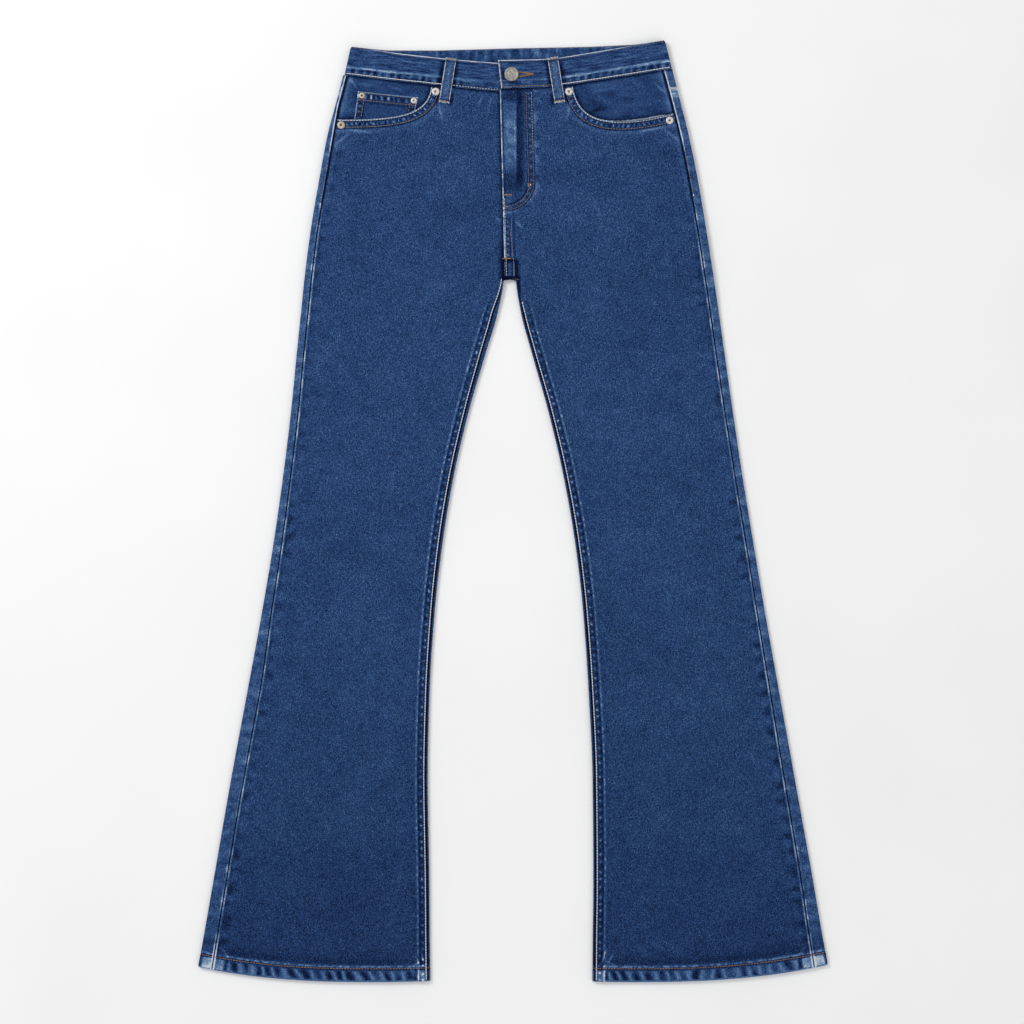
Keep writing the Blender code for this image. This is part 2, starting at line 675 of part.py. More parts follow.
def pocket_facing(side):
    """The cloth seen above the pocket opening. It meets the outseam and the waist seam level with the
    front panel, and drops behind the front panel at the opening."""
    outward = OUTWARD[side]
    opening = OPENING[side]
    side_top = BAND[f"{side} side front"][BAND_COLUMNS.index("bottom_x")]
    corner_y = waist_seam(side, side_top) - 0.4

    def seam_x(y):
        return outline(side + "_out", y) - outward * (outline(side + "_out_seam", y) + 3 * SEAM_GAP)

    corner = (seam_x(corner_y), corner_y)
    near_top = cubic(opening, 0.0)[0] + outward * 2.6
    near_low = cubic(opening, 1.0)[1] + 2.6
    waist_length = abs(corner[0] - near_top)
    side_length = corner[1] - near_low
    upper, lower = [], []
    count = 16
    for number in range(count + 1):
        t = number / count
        walked = t * (waist_length + side_length)
        if walked <= waist_length:
            x = near_top + outward * walked
            seam = (x, min(waist_seam(side, x), corner_y + 0.4))
        else:
            y = corner[1] - (walked - waist_length)
            seam = (seam_x(y), y)
        ahead, behind = cubic(opening, min(1.0, t + 0.02)), cubic(opening, max(0.0, t - 0.02))
        way = (ahead[0] - behind[0], ahead[1] - behind[1])
        length = math.hypot(*way)
        inward = (way[1] / length * outward, -way[0] / length * outward)
        edge = cubic(opening, t)
        under = (edge[0] + inward[0] * FACING_UNDERLAP, edge[1] + inward[1] * FACING_UNDERLAP)
        limit_x = seam_x(under[1])
        if (under[0] - limit_x) * outward > 0.0:
            under = (limit_x, under[1])
        under = (under[0], min(under[1], waist_seam(side, under[0])))
        reach = math.dist(seam, under)
        visible = max(1.0, reach - FACING_UNDERLAP)
        shoulder = mix_points(seam, under, min(8.0, visible * 0.55) / reach)
        row_high, row_low = [], []
        drop = CLOTH + SEAM_GAP
        halfway = mix_points(shoulder, under, 0.5)
        for point, fall in ((seam, 0.0), (shoulder, drop), (halfway, drop), (under, drop)):
            row_high.append((point[0], point[1], PANEL_TOP - fall))
            row_low.append((point[0], point[1], PANEL_TOP - fall - CLOTH))
        upper.append(row_high)
        lower.append(row_low)
    return wall(f"pocket_facing_{side}", upper, lower)


def coin_pocket():
    """A small patch on the right facing, cut off along the pocket opening that covers its bottom."""
    top_out, top_in = COIN_POCKET["top"]
    low_out, low_in = COIN_POCKET["low"]
    opening = OPENING["right"]
    plan = []
    for part in (0.0, 0.25, 1.0):
        row = []
        for column in range(9):
            along = column / 8
            x = mix(mix(top_out[0], top_in[0], along), mix(low_out[0], low_in[0], along), part)
            t = next(t / 200 for t in range(201) if cubic(opening, t / 200)[0] < x)
            low_y = cubic(opening, t)[1] + 4 * SEAM_GAP
            row.append((x, mix(mix(top_out[1], top_in[1], along), low_y, part)))
        plan.append(row)
    level = PANEL_TOP - CLOTH
    return plate("coin_pocket", plan, level, PANEL_TOP)


def fly_facing():
    """A wall behind the left front, from its folded edge to the J-shaped stitching."""
    plan = []
    edge_top = waist_seam("left", 0.0) - 4.0
    for y in (edge_top, 450.0, FLY_BEND_Y, 384.0, 372.0, 364.0, FLY_BOTTOM_Y):
        start = front_centre_x(y) + 1.0
        bend = max(0.0, (FLY_BEND_Y - y) / (FLY_BEND_Y - FLY_BOTTOM_Y))
        wide = FLY_WIDE * math.sqrt(max(0.0, 1.0 - bend * bend)) + 4.0 * bend
        plan.append([(start + wide * along, y) for along in (0.0, 0.5, 1.0)])
    top = PANEL_TOP - CLOTH - SEAM_GAP
    return plate("fly_facing", plan, top - CLOTH, top)


def fly_zip():
    """Closed zip, tape and chain as one plain strip behind the fly facing."""
    plan = []
    for y in (ZIP["top_y"], (ZIP["top_y"] + ZIP["low_y"]) / 2, ZIP["low_y"]):
        start = front_centre_x(y) + 1.0
        plan.append([(start, y), (start + ZIP["wide"], y)])
    top = PANEL_TOP - 2 * (CLOTH + SEAM_GAP)
    return plate("fly_zip", plan, top - ZIP["wall"], top, ZIP_TAPE)


def button():
    radius, tall = BUTTON["across"] / 2, BUTTON["tall"]
    profile = (
        (0.0, 0.0),
        (radius * 0.92, 0.0),
        (radius, 0.5),
        (radius, tall * 0.55),
        (radius * 0.95, tall * 0.85),
        (radius * 0.86, tall),
        (radius * 0.74, tall * 0.86),
        (radius * 0.35, tall * 0.8),
        (0.0, tall * 0.8),
    )
    return turned("button", BUTTON["place"], profile, CLOSURE_TOP + SEAM_GAP)


def rivet(name, place, size):
    radius, tall = size["across"] / 2, size["tall"]
    profile = (
        (0.0, 0.0),
        (radius, 0.0),
        (radius, tall * 0.45),
        (radius * 0.86, tall * 0.85),
        (radius * 0.62, tall),
        (radius * 0.40, tall * 0.96),
        (radius * 0.28, tall * 0.7),
        (0.0, tall * 0.66),
    )
    return turned(name, place, profile, PANEL_TOP + SEAM_GAP)


def rivets():
    for places, size in ((RIVETS, RIVET), (COIN_RIVETS, COIN_RIVET)):
        for name, place in places.items():
            rivet(name, place, size)


def clear_scene():
    for thing in list(bpy.data.objects):
        bpy.data.objects.remove(thing, do_unlink=True)


def main():
    clear_scene()
    for side in SIDES:
        front_panel(side)
        back_panel(side)
        yoke(side)
        pocket_facing(side)
        back_pocket(side)
    waistband()
    belt_loops()
    coin_pocket()
    fly_facing()
    fly_zip()
    button()
    rivets()


main()
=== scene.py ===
import math

import bmesh
import bpy
import numpy as np
from mathutils import Matrix, Vector
from mathutils.bvhtree import BVHTree


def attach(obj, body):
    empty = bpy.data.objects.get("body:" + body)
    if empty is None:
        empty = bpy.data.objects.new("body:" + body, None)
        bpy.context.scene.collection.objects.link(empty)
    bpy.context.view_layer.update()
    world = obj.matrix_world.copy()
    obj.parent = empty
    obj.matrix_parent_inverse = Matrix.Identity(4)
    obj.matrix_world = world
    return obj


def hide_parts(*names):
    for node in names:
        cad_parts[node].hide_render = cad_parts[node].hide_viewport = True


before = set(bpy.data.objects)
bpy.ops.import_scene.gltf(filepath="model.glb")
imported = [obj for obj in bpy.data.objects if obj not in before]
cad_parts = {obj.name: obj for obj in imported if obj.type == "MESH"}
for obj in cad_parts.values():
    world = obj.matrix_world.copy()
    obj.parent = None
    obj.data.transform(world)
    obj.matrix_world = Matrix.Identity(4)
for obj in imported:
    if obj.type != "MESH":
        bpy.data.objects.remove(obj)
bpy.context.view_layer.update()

# Lengths are in millimetres until a mesh is made. X runs to the wearer's left, Y from hem to waist, Z up.
mm = 0.001
sides = ("right", "left")
outward = {"right": -1.0, "left": 1.0}
trees = {}  # each finished piece's surface, for laying thread on it

garment = {
    "clothThickness": 1.0,
    "legHeight": 4.6,
    "hipHeight": 5.2,
    "hipLift": 1.6,
    "riseFrom": 215.0,
    "riseTo": 290.0,
    "panelTop": 6.8,
    "crotchY": 277.0,
    "seamGap": 0.15,
    "backCentreX": -4.5,
    "rowStep": 2.6,
}


def portion(low, high, value):  # how far a value lies from low to high
    return (np.asarray(value, float) - low) / (high - low)


def ramp(low, high, value):
    part = np.clip(portion(low, high, value), 0.0, 1.0)
    return part * part * (3.0 - 2.0 * part)


def hump(value, centre, width):
    return np.exp(-(((np.asarray(value, float) - centre) / width) ** 2))


def between(low, high, soft, value):
    return ramp(low - soft, low + soft, value) * (1.0 - ramp(high - soft, high + soft, value))


def blend(start, end, part):
    return start + (end - start) * part


def uneven(along, step, seed):  # a smooth wander between -1 and 1
    knots = np.random.RandomState(seed).uniform(-1.0, 1.0, 997)
    place = np.asarray(along, float) / step + 400.0
    low = np.floor(place).astype(int)
    return blend(knots[low % 997], knots[(low + 1) % 997], ramp(0.0, 1.0, place - low))


def patchy(x, y, step, seed):  # the same wander over an area
    knots = np.random.RandomState(seed).uniform(-1.0, 1.0, (97, 97))
    across, up = np.asarray(x, float) / step + 300.0, np.asarray(y, float) / step + 300.0
    i, j = np.floor(across).astype(int), np.floor(up).astype(int)
    u, v = ramp(0.0, 1.0, across - i), ramp(0.0, 1.0, up - j)
    low = blend(knots[i % 97, j % 97], knots[(i + 1) % 97, j % 97], u)
    high = blend(knots[i % 97, (j + 1) % 97], knots[(i + 1) % 97, (j + 1) % 97], u)
    return blend(low, high, v)


def ropes(along, period, seed, sharp=1.5):  # uneven bars from 0 to 1, like roping along a stitched edge
    bent = np.asarray(along, float) + period * 0.3 * uneven(along, period * 1.6, seed)
    wave = 0.5 + 0.5 * np.cos(2.0 * np.pi * bent / period)
    return wave**sharp * (0.7 + 0.3 * uneven(along, period * 1.3, seed + 1))


def smoothCurve(places, values):  # a curve through its knots that never overshoots them
    places, values = np.array(places, float), np.array(values, float)
    spans = np.diff(places)
    slopes = np.diff(values) / spans
    product = slopes[:-1] * slopes[1:]
    total = np.where(product > 0.0, slopes[:-1] + slopes[1:], 1.0)
    bend = np.where(product > 0.0, 2.0 * product / total, 0.0)
    bend = np.concatenate([slopes[:1], bend, slopes[-1:]])
    dense = np.linspace(places[0], places[-1], 3000)
    i = np.clip(np.searchsorted(places, dense, side="right") - 1, 0, len(spans) - 1)
    t = (dense - places[i]) / spans[i]
    curve = (
        (1 + 2 * t) * (1 - t) ** 2 * values[i]
        + t * (1 - t) ** 2 * spans[i] * bend[i]
        + t * t * (3 - 2 * t) * values[i + 1]
        + t * t * (t - 1) * spans[i] * bend[i + 1]
    )
    return lambda place: np.interp(place, dense, curve)


def cubicLine(control, count):
    t = np.linspace(0.0, 1.0, count)[:, None]
    a, b, c, d = (np.array(point, float) for point in control)
    return (1 - t) ** 3 * a + 3 * t * (1 - t) ** 2 * b + 3 * t * t * (1 - t) * c + t**3 * d


def walked(line):
    steps = np.linalg.norm(np.diff(line, axis=0), axis=1)
    return np.concatenate([[0.0], np.cumsum(steps)])


def alongLine(line, distances):
    length = walked(line)
    return np.stack([np.interp(distances, length, line[:, k]) for k in range(line.shape[1])], axis=-1)


def evenly(line, count):
    return alongLine(line, np.linspace(0.0, walked(line)[-1], count))


def offsetLine(line, distance):
    way = np.gradient(line, axis=0)
    way /= np.linalg.norm(way, axis=1)[:, None]
    return line + np.stack([-way[:, 1], way[:, 0]], axis=-1) * distance


def fromLine(line, x, y):  # distance from a line in plan, and how far along it the nearest place is
    length = walked(line)
    dense = evenly(line, 240)
    apart = np.hypot(x[..., None] - dense[:, 0], y[..., None] - dense[:, 1])
    nearest = apart.argmin(axis=-1)
    return apart.min(axis=-1), nearest / 239.0 * length[-1]


# Flat outline of both legs and how far each seam lies from its edge, by level
legOutline = {
    "y": (-548, -500, -440, -320, -220, -120, -40, 40, 120, 190, 240, 277, 340, 400, 450, 490, 526),
    "rightOut": (
        -378.0, -369.5, -359.1, -338.3, -319.7, -301.3, -287.9, -276.5, -266.7,
        -259.8, -254.6, -250.7, -242.5, -232.3, -222.9, -212.3, -202.6,
    ),
    "rightIn": (
        -99.8, -100.5, -101.0, -102.9, -100.8, -94.4, -85.3, -72.0, -53.4,
        -33.0, -18.3, -12.2, -12.2, -12.2, -12.2, -12.2, -12.2,
    ),
    "leftIn": (94.6, 95.0, 95.8, 94.8, 90.3, 83.4, 74.1, 60.2, 41.5, 21.6, 8.4, 3.2, 3.2, 3.2, 3.2, 3.2, 3.2),
    "leftOut": (
        376.8, 368.2, 358.3, 337.0, 319.0, 301.2, 287.8, 274.7, 262.8,
        252.8, 245.8, 240.3, 230.5, 220.2, 209.9, 200.0, 190.6,
    ),
    "rightOutSeam": (
        16.5, 16.0, 15.6, 15.4, 15.4, 11.6, 10.2, 9.4, 9.0, 8.8, 8.8, 8.8, 8.6, 8.6, 7.6, 4.6, 4.8,
    ),
    "rightInSeam": (3.2, 3.0, 3.0, 3.0, 3.0, 3.2, 3.6, 3.8, 4.2, 5.4, 6.0, 6.0, 6.0, 6.0, 6.0, 6.0, 6.0),
    "leftInSeam": (3.2, 3.0, 3.0, 3.2, 3.4, 3.2, 3.2, 3.2, 3.2, 3.2, 3.2, 3.2, 3.2, 3.2, 3.2, 3.2, 3.2),
    "leftOutSeam": (
        16.2, 15.4, 14.2, 12.7, 11.0, 9.6, 9.0, 9.0, 9.8, 10.2, 10.4, 10.5, 10.5, 10.5, 10.5, 10.6, 11.0,
    ),
}
legAt = {name: smoothCurve(legOutline["y"], row) for name, row in legOutline.items() if name != "y"}

# The hem line dips between the seams: its lowest level, how far the outseam's end lies above it, and how
# far along from the outseam the lowest place is
hemShape = {
    "right": {"lowest": -565.3, "drop": 14.8, "low": 0.74},
    "left": {"lowest": -565.3, "drop": 17.3, "low": 0.80},
    "bend": 2.4,
    "reach": 190.0,
    "level": -548.0,
    "tall": 16.0,
    "foldRadius": 1.05,
    "steepRows": 4,
}

# Bottom edge of the waistband along the front and the back
waistKnots = {
    "right": ((-199.6, 521.6), (-140.0, 514.6), (-81.0, 508.4), (-34.0, 503.2), (-17.6, 501.9)),
    "left": ((-14.6, 505.4), (22.0, 506.4), (37.0, 507.2), (62.0, 509.4), (128.0, 519.4), (187.2, 529.0)),
    "back": (
        (-199.6, 521.6), (-156.0, 517.6), (-92.0, 517.4), (4.0, 520.0),
        (92.0, 521.6), (146.0, 524.6), (187.2, 529.0),
    ),
}
waistAt = {name: smoothCurve(*zip(*knots)) for name, knots in waistKnots.items()}

# The front edges' line from the crotch up, and how the strip beside the inseam runs out at the crotch
centreLine = {"lowX": -10.4, "highX": -16.4, "lowY": 277.0, "highY": 503.0}
rimEnd = {"wide": 0.6, "lowY": 236.0, "highY": 276.0}

# Each hip pocket opening, from the waist to the outseam
openingShape = {
    "right": ((-98.5, 507.0), (-103.0, 478.0), (-125.0, 467.0), (-213.0, 468.0)),
    "left": ((71.0, 507.5), (77.0, 474.0), (98.0, 452.0), (193.0, 475.5)),
}
openingLine = {side: cubicLine(control, 160) for side, control in openingShape.items()}


def seamX(side, y):
    return legAt[side + "Out"](y) - outward[side] * legAt[side + "OutSeam"](y)


def rimWide(side, y):  # how much of the back shows beside the inseam
    part = np.clip(portion(rimEnd["lowY"], rimEnd["highY"], y), 0.0, 1.0)
    return blend(legAt[side + "InSeam"](y), rimEnd["wide"], part)


def inseamX(side, y):
    return legAt[side + "In"](y) + outward[side] * rimWide(side, y)


def centreX(y):
    part = portion(centreLine["lowY"], centreLine["highY"], y)
    return blend(centreLine["lowX"], centreLine["highX"], part)


def lift(y):
    return garment["hipLift"] * ramp(garment["riseFrom"], garment["riseTo"], y)


def tall(y):
    part = ramp(garment["riseFrom"], garment["riseTo"], y)
    return blend(garment["legHeight"], garment["hipHeight"], part)


def hemEdge(side, along):
    shape = hemShape[side]
    return shape["lowest"] + shape["drop"] * np.abs((along - shape["low"]) / shape["low"]) ** hemShape["bend"]


def hemSag(side, y, along):
    level = hemShape["level"]
    return (hemEdge(side, along) - level) * (1.0 - ramp(level, level + hemShape["reach"], y))


class Wire:  # a node's output that reads as a number in an expression
    def __init__(self, finish, socket):
        self.finish, self.socket = finish, socket

    def maths(self, operation, first, second=0.0):
        return self.finish.node("ShaderNodeMath", {"operation": operation}, {0: first, 1: second})

    def __add__(self, other):
        return self.maths("ADD", self, other)

    def __radd__(self, other):
        return self.maths("ADD", other, self)

    def __sub__(self, other):
        return self.maths("SUBTRACT", self, other)

    def __rsub__(self, other):
        return self.maths("SUBTRACT", other, self)

    def __mul__(self, other):
        return self.maths("MULTIPLY", self, other)

    def __rmul__(self, other):
        return self.maths("MULTIPLY", other, self)

    def __pow__(self, other):
        return self.maths("POWER", self, other)


def shade(red, green, blue):  # screen values 0 to 255 as the shader takes them
    parts = [value / 255.0 for value in (red, green, blue)]
    return tuple(p / 12.92 if p <= 0.04045 else ((p + 0.055) / 1.055) ** 2.4 for p in parts) + (1.0,)


def fillRamp(colours, stops):
    while len(colours.elements) < len(stops):
        colours.elements.new(1.0)
    for element, (place, colour) in zip(colours.elements, stops):
        element.position, element.color = place, colour


class Finish:  # one material and its nodes
    def __init__(self, name):
        self.material = bpy.data.materials.new(name)
        self.material.use_nodes = True
        self.nodes = self.material.node_tree.nodes
        self.links = self.material.node_tree.links
        self.nodes.clear()
        self.kept = {}
        self.here = self.node("ShaderNodeTexCoord", output=3)
        self.x = self.node("ShaderNodeSeparateXYZ", {}, {0: self.here}) * 1000.0
        self.y = self.node("ShaderNodeSeparateXYZ", {}, {0: self.here}, output=1) * 1000.0

    def node(self, kind, settings=None, sockets=None, output=0):
        made = self.nodes.new(kind)
        for key, value in (settings or {}).items():
            if key == "stops":
                fillRamp(made.color_ramp, value)
            else:
                setattr(made, key, value)
        for key, value in (sockets or {}).items():
            if isinstance(value, Wire):
                self.links.new(value.socket, made.inputs[key])
            else:
                made.inputs[key].default_value = value
        return Wire(self, made.outputs[output])

    def once(self, key, make):  # nodes that several formulas share
        if key not in self.kept:
            self.kept[key] = make()
        return self.kept[key]

    def place(self, stretch=(1, 1, 1), shift=0.0):  # tilted, so that a noise shows none of its own planes
        sockets = {"Vector": self.here, "Rotation": (0.61, 0.38, 0.3), "Scale": stretch}
        sockets["Location"] = (shift, shift, 0)
        return self.once((stretch, shift), lambda: self.node("ShaderNodeMapping", {}, sockets))

    def noise(self, where, size, detail=2.0, roughness=0.5):
        sockets = {"Vector": where, "Scale": 1.0 / (size * mm), "Detail": detail, "Roughness": roughness}
        return self.node("ShaderNodeTexNoise", {}, sockets)

    def mark(self, name):  # a distance in millimetres kept on the cloth itself
        return self.once(name, lambda: self.node("ShaderNodeAttribute", {"attribute_name": name}, output=2))

    def scaled(self, value, factor, shift):
        return self.node("ShaderNodeMath", {"operation": "MULTIPLY_ADD"}, {0: value, 1: factor, 2: shift})

    def profile(self, distance, *stops):  # tone against distance, by (distance, tone) pairs
        low, high = stops[0][0], stops[-1][0]
        greys = [((place - low) / (high - low), (0.5 + tone / 2,) * 3 + (1.0,)) for place, tone in stops]
        part = self.scaled(distance, 1.0 / (high - low), -low / (high - low))
        return self.scaled(self.node("ShaderNodeValToRGB", {"stops": greys}, {0: part}), 2.0, -1.0)

    def scale(self, part, *stops):  # colour by place on a scale, from screen values
        stops = [(place, shade(*colour)) for place, colour in stops]
        return self.node("ShaderNodeValToRGB", {"stops": stops}, {"Fac": part})

    def bump(self, strength, depth, height):
        sockets = {"Strength": strength, "Distance": depth * mm, "Height": height}
        return self.node("ShaderNodeBump", {}, sockets)

    def bar(self, distance, start, full, fading, end, tone):  # one soft-edged bar of tone
        return self.profile(distance, (start, 0.0), (full, tone), (fading, tone), (end, 0.0))

    def drift(self, size):  # the nearest in size of a few soft noises
        near = min((4.0, 8.0, 15.0, 28.0), key=lambda known: abs(math.log(known / size)))
        return self.once(near, lambda: self.noise(self.place(shift=near * 0.1), near, 0.0))

    def broken(self, size, low=0.2, high=1.0):  # wear that comes and goes
        return self.profile(self.drift(size), (0.38, low), (0.62, high))

    def ropes(self, along, period, sharp=1.3, loose=1.1):  # uneven bars from 0 to 1
        phase = along * (2.0 * math.pi / period) + self.drift(period * 1.6) * (2.0 * math.pi * loose)
        wave = self.scaled(phase.maths("COSINE", phase), 0.5, 0.5)
        return wave**sharp * self.broken(period * 0.9, 0.45, 1.0)

    def streak(self, start, end, width, tone):  # a soft pale or dark line between two given places
        way = Vector((end[0] - start[0], end[1] - start[1], 0.0))
        length = way.length
        way = way / length
        along = (self.x - start[0]) * way.x + (self.y - start[1]) * way.y
        aside = (self.x - start[0]) * way.y - (self.y - start[1]) * way.x
        across = self.profile(aside, (-width, 0.0), (-width * 0.25, 1.0), (width * 0.25, 1.0), (width, 0.0))
        return across * self.profile(along, (0, 0), (0.3 * length, tone), (0.6 * length, tone), (length, 0))

    def streaks(self, tone, rows):
        for start, end, width, strength in rows:
            tone = tone + self.streak(start, end, width, strength)
        return tone

    def shader(self, colour, normal, **constants):
        sockets = {"Base Color": colour, "Normal": normal}
        sockets.update(constants)
        surface = self.node("ShaderNodeBsdfPrincipled", {}, sockets)
        output = self.nodes.new("ShaderNodeOutputMaterial")
        self.links.new(surface.socket, output.inputs["Surface"])
        return self.material


denimFinish = {
    "tone": 0.380,  # where unworn cloth sits on the colour scale
    "mottle": 0.84,
    "slub": 0.17,
    "broad": 0.12,
    "twill": 0.14,
    "twillPitch": 0.62,
    "yarn": 0.40,
    "specks": 0.06,
    "calmed": 0.45,  # how much of the grain is left where the cloth is worn pale
    "bump": 0.16,
    "scale": (
        (0.00, (6, 16, 44)),
        (0.20, (20, 42, 81)),
        (0.40, (39, 67, 115)),
        (0.60, (64, 96, 141)),
        (0.80, (104, 134, 171)),
        (1.00, (203, 213, 225)),
    ),
}


def denim(name, wearAndShade=None, across=False, toneShift=0.0, grain=1.0):  # blue twill; across lays it sideways
    look = denimFinish
    finish = Finish(name)
    here = finish.place()
    alongWarp = finish.place(stretch=(0.18, 1.0, 1.0) if across else (1.0, 0.18, 1.0))
    mottle = finish.noise(here, 1.02, detail=0.0) - 0.5
    slub = finish.noise(alongWarp, 1.1, detail=0.0) - 0.5
    yarn = finish.noise(alongWarp, 0.5, detail=0.0) - 0.5
    broad = finish.noise(here, 16.0, detail=1.0) - 0.5
    weft, warp = (finish.y, finish.x) if across else (finish.x, finish.y)
    phase = (weft * 0.82 - warp * 0.57) * (2.0 * math.pi / look["twillPitch"]) + finish.drift(4.0) * 5.0
    twill = phase.maths("SINE", phase)
    speck = finish.noise(finish.place(shift=0.7), 1.3, detail=0.0)
    light = finish.node("ShaderNodeMapRange", {}, {"Value": speck, "From Min": 0.64, "From Max": 0.80})
    cloth = mottle * look["mottle"] + slub * look["slub"]
    cloth = cloth + twill * (look["twill"] * 0.5) + yarn * look["yarn"]
    cloth = (cloth + light * look["specks"]) * grain
    # The tone adds each piece's fade, its wear and, where a piece has it, the shade painted into its colour
    wornAndShaded = finish.mark("fade")
    height = twill * 0.30 + yarn * 0.9 + slub * 0.9 + mottle * 1.1
    if wearAndShade:
        added = wearAndShade(finish)
        wornAndShaded = wornAndShaded + added
        cloth = cloth * finish.profile(added, (0.0, 1.0), (0.55, look["calmed"]))
    tone = wornAndShaded + cloth + broad * look["broad"] + (look["tone"] + toneShift)
    colour, normal = finish.scale(tone, *look["scale"]), finish.bump(0.55, look["bump"], height)
    return finish.shader(colour, normal, **{"Roughness": 0.9, "Specular IOR Level": 0.06})


def frontOutseamWear(f):
    seam = f.mark("fromOutseam")
    upper = f.profile(f.y, (325, 0), (385, 1))
    wornAndShaded = f.profile(seam, (0.3, 0), (0.9, 0.58), (1.8, 0.52), (2.7, 0)) * f.broken(16, 0.5, 1)
    wornAndShaded = wornAndShaded * (1 - upper * 0.85)
    wornAndShaded = wornAndShaded + f.profile(seam, (0, -0.5), (1.3, -0.45), (2.2, 0), (3.4, 0.16), (6, 0.12), (8, 0)) * upper
    groove = f.profile(seam, (0, -0.6), (0.5, -0.35), (0.9, 0), (2.8, 0), (3.8, -0.09), (6.5, -0.03), (10, 0))
    blobs = f.ropes(f.y, 21, 1.6)
    level = f.profile(f.y, (-540, 0.9), (-100, 0.9), (150, 0.45), (500, 0.45))
    return wornAndShaded + groove + f.bar(seam, 2.5, 5, 9, 16, -0.3) * (blobs - 0.3) * level


def frontInseamWear(f):
    seam = f.mark("fromInseam")
    dots, others = f.ropes(f.y, 9.3, 3), f.ropes(f.y + 4, 9.3, 2.2)
    base = f.profile(
        seam, (0, -0.5), (0.7, -0.25), (1.1, 0), (2.6, 0), (3.2, -0.16), (7.8, -0.16), (9.6, -0.05),
        (10.3, 0.17), (11.4, 0.14), (12.8, 0), (14.5, -0.03), (18, 0),
    )
    first = f.bar(seam, 3.4, 4.6, 6, 7.2, 0.64) * dots
    second = f.bar(seam, 9.4, 10.4, 11.4, 12.4, 0.3) * others
    notches = f.bar(seam, 6.6, 7.6, 8.6, 9.6, 0.3) * others
    return (base + first + second - notches) * f.profile(f.y, (225, 1), (262, 0))


def hemWearAndShade(f):
    hem, out, inn = f.mark("fromHem"), f.mark("fromOutseam"), f.mark("fromInseam")
    # Pale worn hem edge; the dark dip at 14 to 17 mm is the stitch groove, and the dark band at 20 to 30 mm
    # is painted shade above the worn ridge
    base = f.profile(
        hem, (0, 0.4), (1.3, 0.34), (2.8, 0.21), (12.6, 0.19), (14.4, -0.08), (16.6, -0.24), (17.1, 0),
        (20, 0), (22, -0.1), (25, -0.11), (30, -0.03), (38, 0),
    )
    ridge = f.profile(hem, (16.9, 0), (17.7, 0.5), (18.8, 0.44), (20.6, 0)) * f.broken(5, 0.3, 1)
    clear = f.profile(out, (14, 0), (18, 1)) * f.profile(inn, (12, 0), (15, 1))
    ovals = f.ropes(f.x + hem * 0.3, 14.2, 0.8, 0.9)
    blobs = f.profile(hem, (1.4, 0), (3.4, -0.7), (11.8, -0.66), (14.2, 0)) * (ovals - 0.3) * clear
    inside = f.bar(hem, 1.4, 2.4, 13.4, 14.4, 1)
    square = f.profile(out, (1, 0), (1.8, 0.3), (12, 0.26), (13.2, 0), (14.4, -0.3), (16.6, -0.3), (18.4, 0))
    other = f.profile(
        inn, (2.4, 0), (3.2, 0.26), (10.6, 0.26), (11.8, 0), (12.8, -0.3), (14.6, -0.3), (16.4, 0)
    )
    line = f.profile(hem, (0, 1), (16, 1), (34, 0)) * f.bar(out, 0.2, 0.8, 1.6, 2.4, 0.5)
    return base + ridge + blobs + (square + other) * inside + line


def openingWear(f):
    away, walk = f.mark("fromOpening"), f.mark("alongOpening")
    base = f.profile(
        away, (0, 0.56), (0.5, 0.5), (0.9, 0.1), (1.7, -0.22), (2.7, -0.2), (3.4, -0.02), (7.4, -0.02),
        (8.2, -0.2), (9.3, -0.16), (10, -0.34), (11, -0.1), (12.2, 0.1), (14.5, 0.09), (18, 0),
    )
    dashes = f.ropes(walk, 6.1, 2)
    return base + f.bar(away, 2.9, 3.9, 6.4, 7.6, 0.64) * (dashes - 0.3)


# Painted shadow of the waistband: darker just below its lower edge, with a faint paler strip under that
def underBandShade(f):
    return f.profile(
        f.mark("fromWaist"), (0, -0.55), (1, -0.4), (2.2, -0.12), (4, 0.03), (6.5, 0.03), (9, 0)
    )


# Wear of a front panel, with painted shadow under the waistband and painted shade above the hem
def frontWearAndShade(f):
    return frontOutseamWear(f) + frontInseamWear(f) + hemWearAndShade(f) + openingWear(f) + underBandShade(f)


def rightFrontWearAndShade(f):
    centre = f.mark("fromCentre")
    # edge: painted shadow of the fly's overlapping flap along the centre edge
    edge = f.profile(centre, (0, -0.65), (0.8, -0.45), (1.6, -0.14), (3.2, -0.05), (7, 0))
    low = f.profile(f.y, (276, 1), (300, 1), (330, 0))
    # crotch: painted shade beside the centre edge down at the crotch
    crotch = f.profile(centre, (0, -0.45), (2.5, -0.42), (5, -0.16), (9, 0)) * low
    tone = frontWearAndShade(f) + edge + crotch
    # The two dark streaks at x -74 and -90 are painted shadows beside the belt loop; the others are pale
    # streaks
    return f.streaks(tone, (
        ((-91, 490), (-84, 462), 2.4, 0.24), ((-36, 498), (-44, 484), 2.2, 0.22),
        ((-26, 499), (-30, 478), 2, 0.16), ((-74, 503), (-76, 482), 4, -0.36),
        ((-90, 503), (-92, 482), 4, -0.36), ((-112, -524), (-106, -547), 1.5, 0.42),
        ((-118, -532), (-112, -546), 1.3, 0.36), ((-122, -546), (-106, -538), 1.3, 0.3),
        ((-166, 452), (-204, 457), 2.4, 0.26), ((-196, 452), (-216, 436), 2.6, 0.28),
        ((-14, 346), (-24, 352), 2.2, 0.26), ((-352, -522), (-338, -540), 1.6, 0.24),
    ))


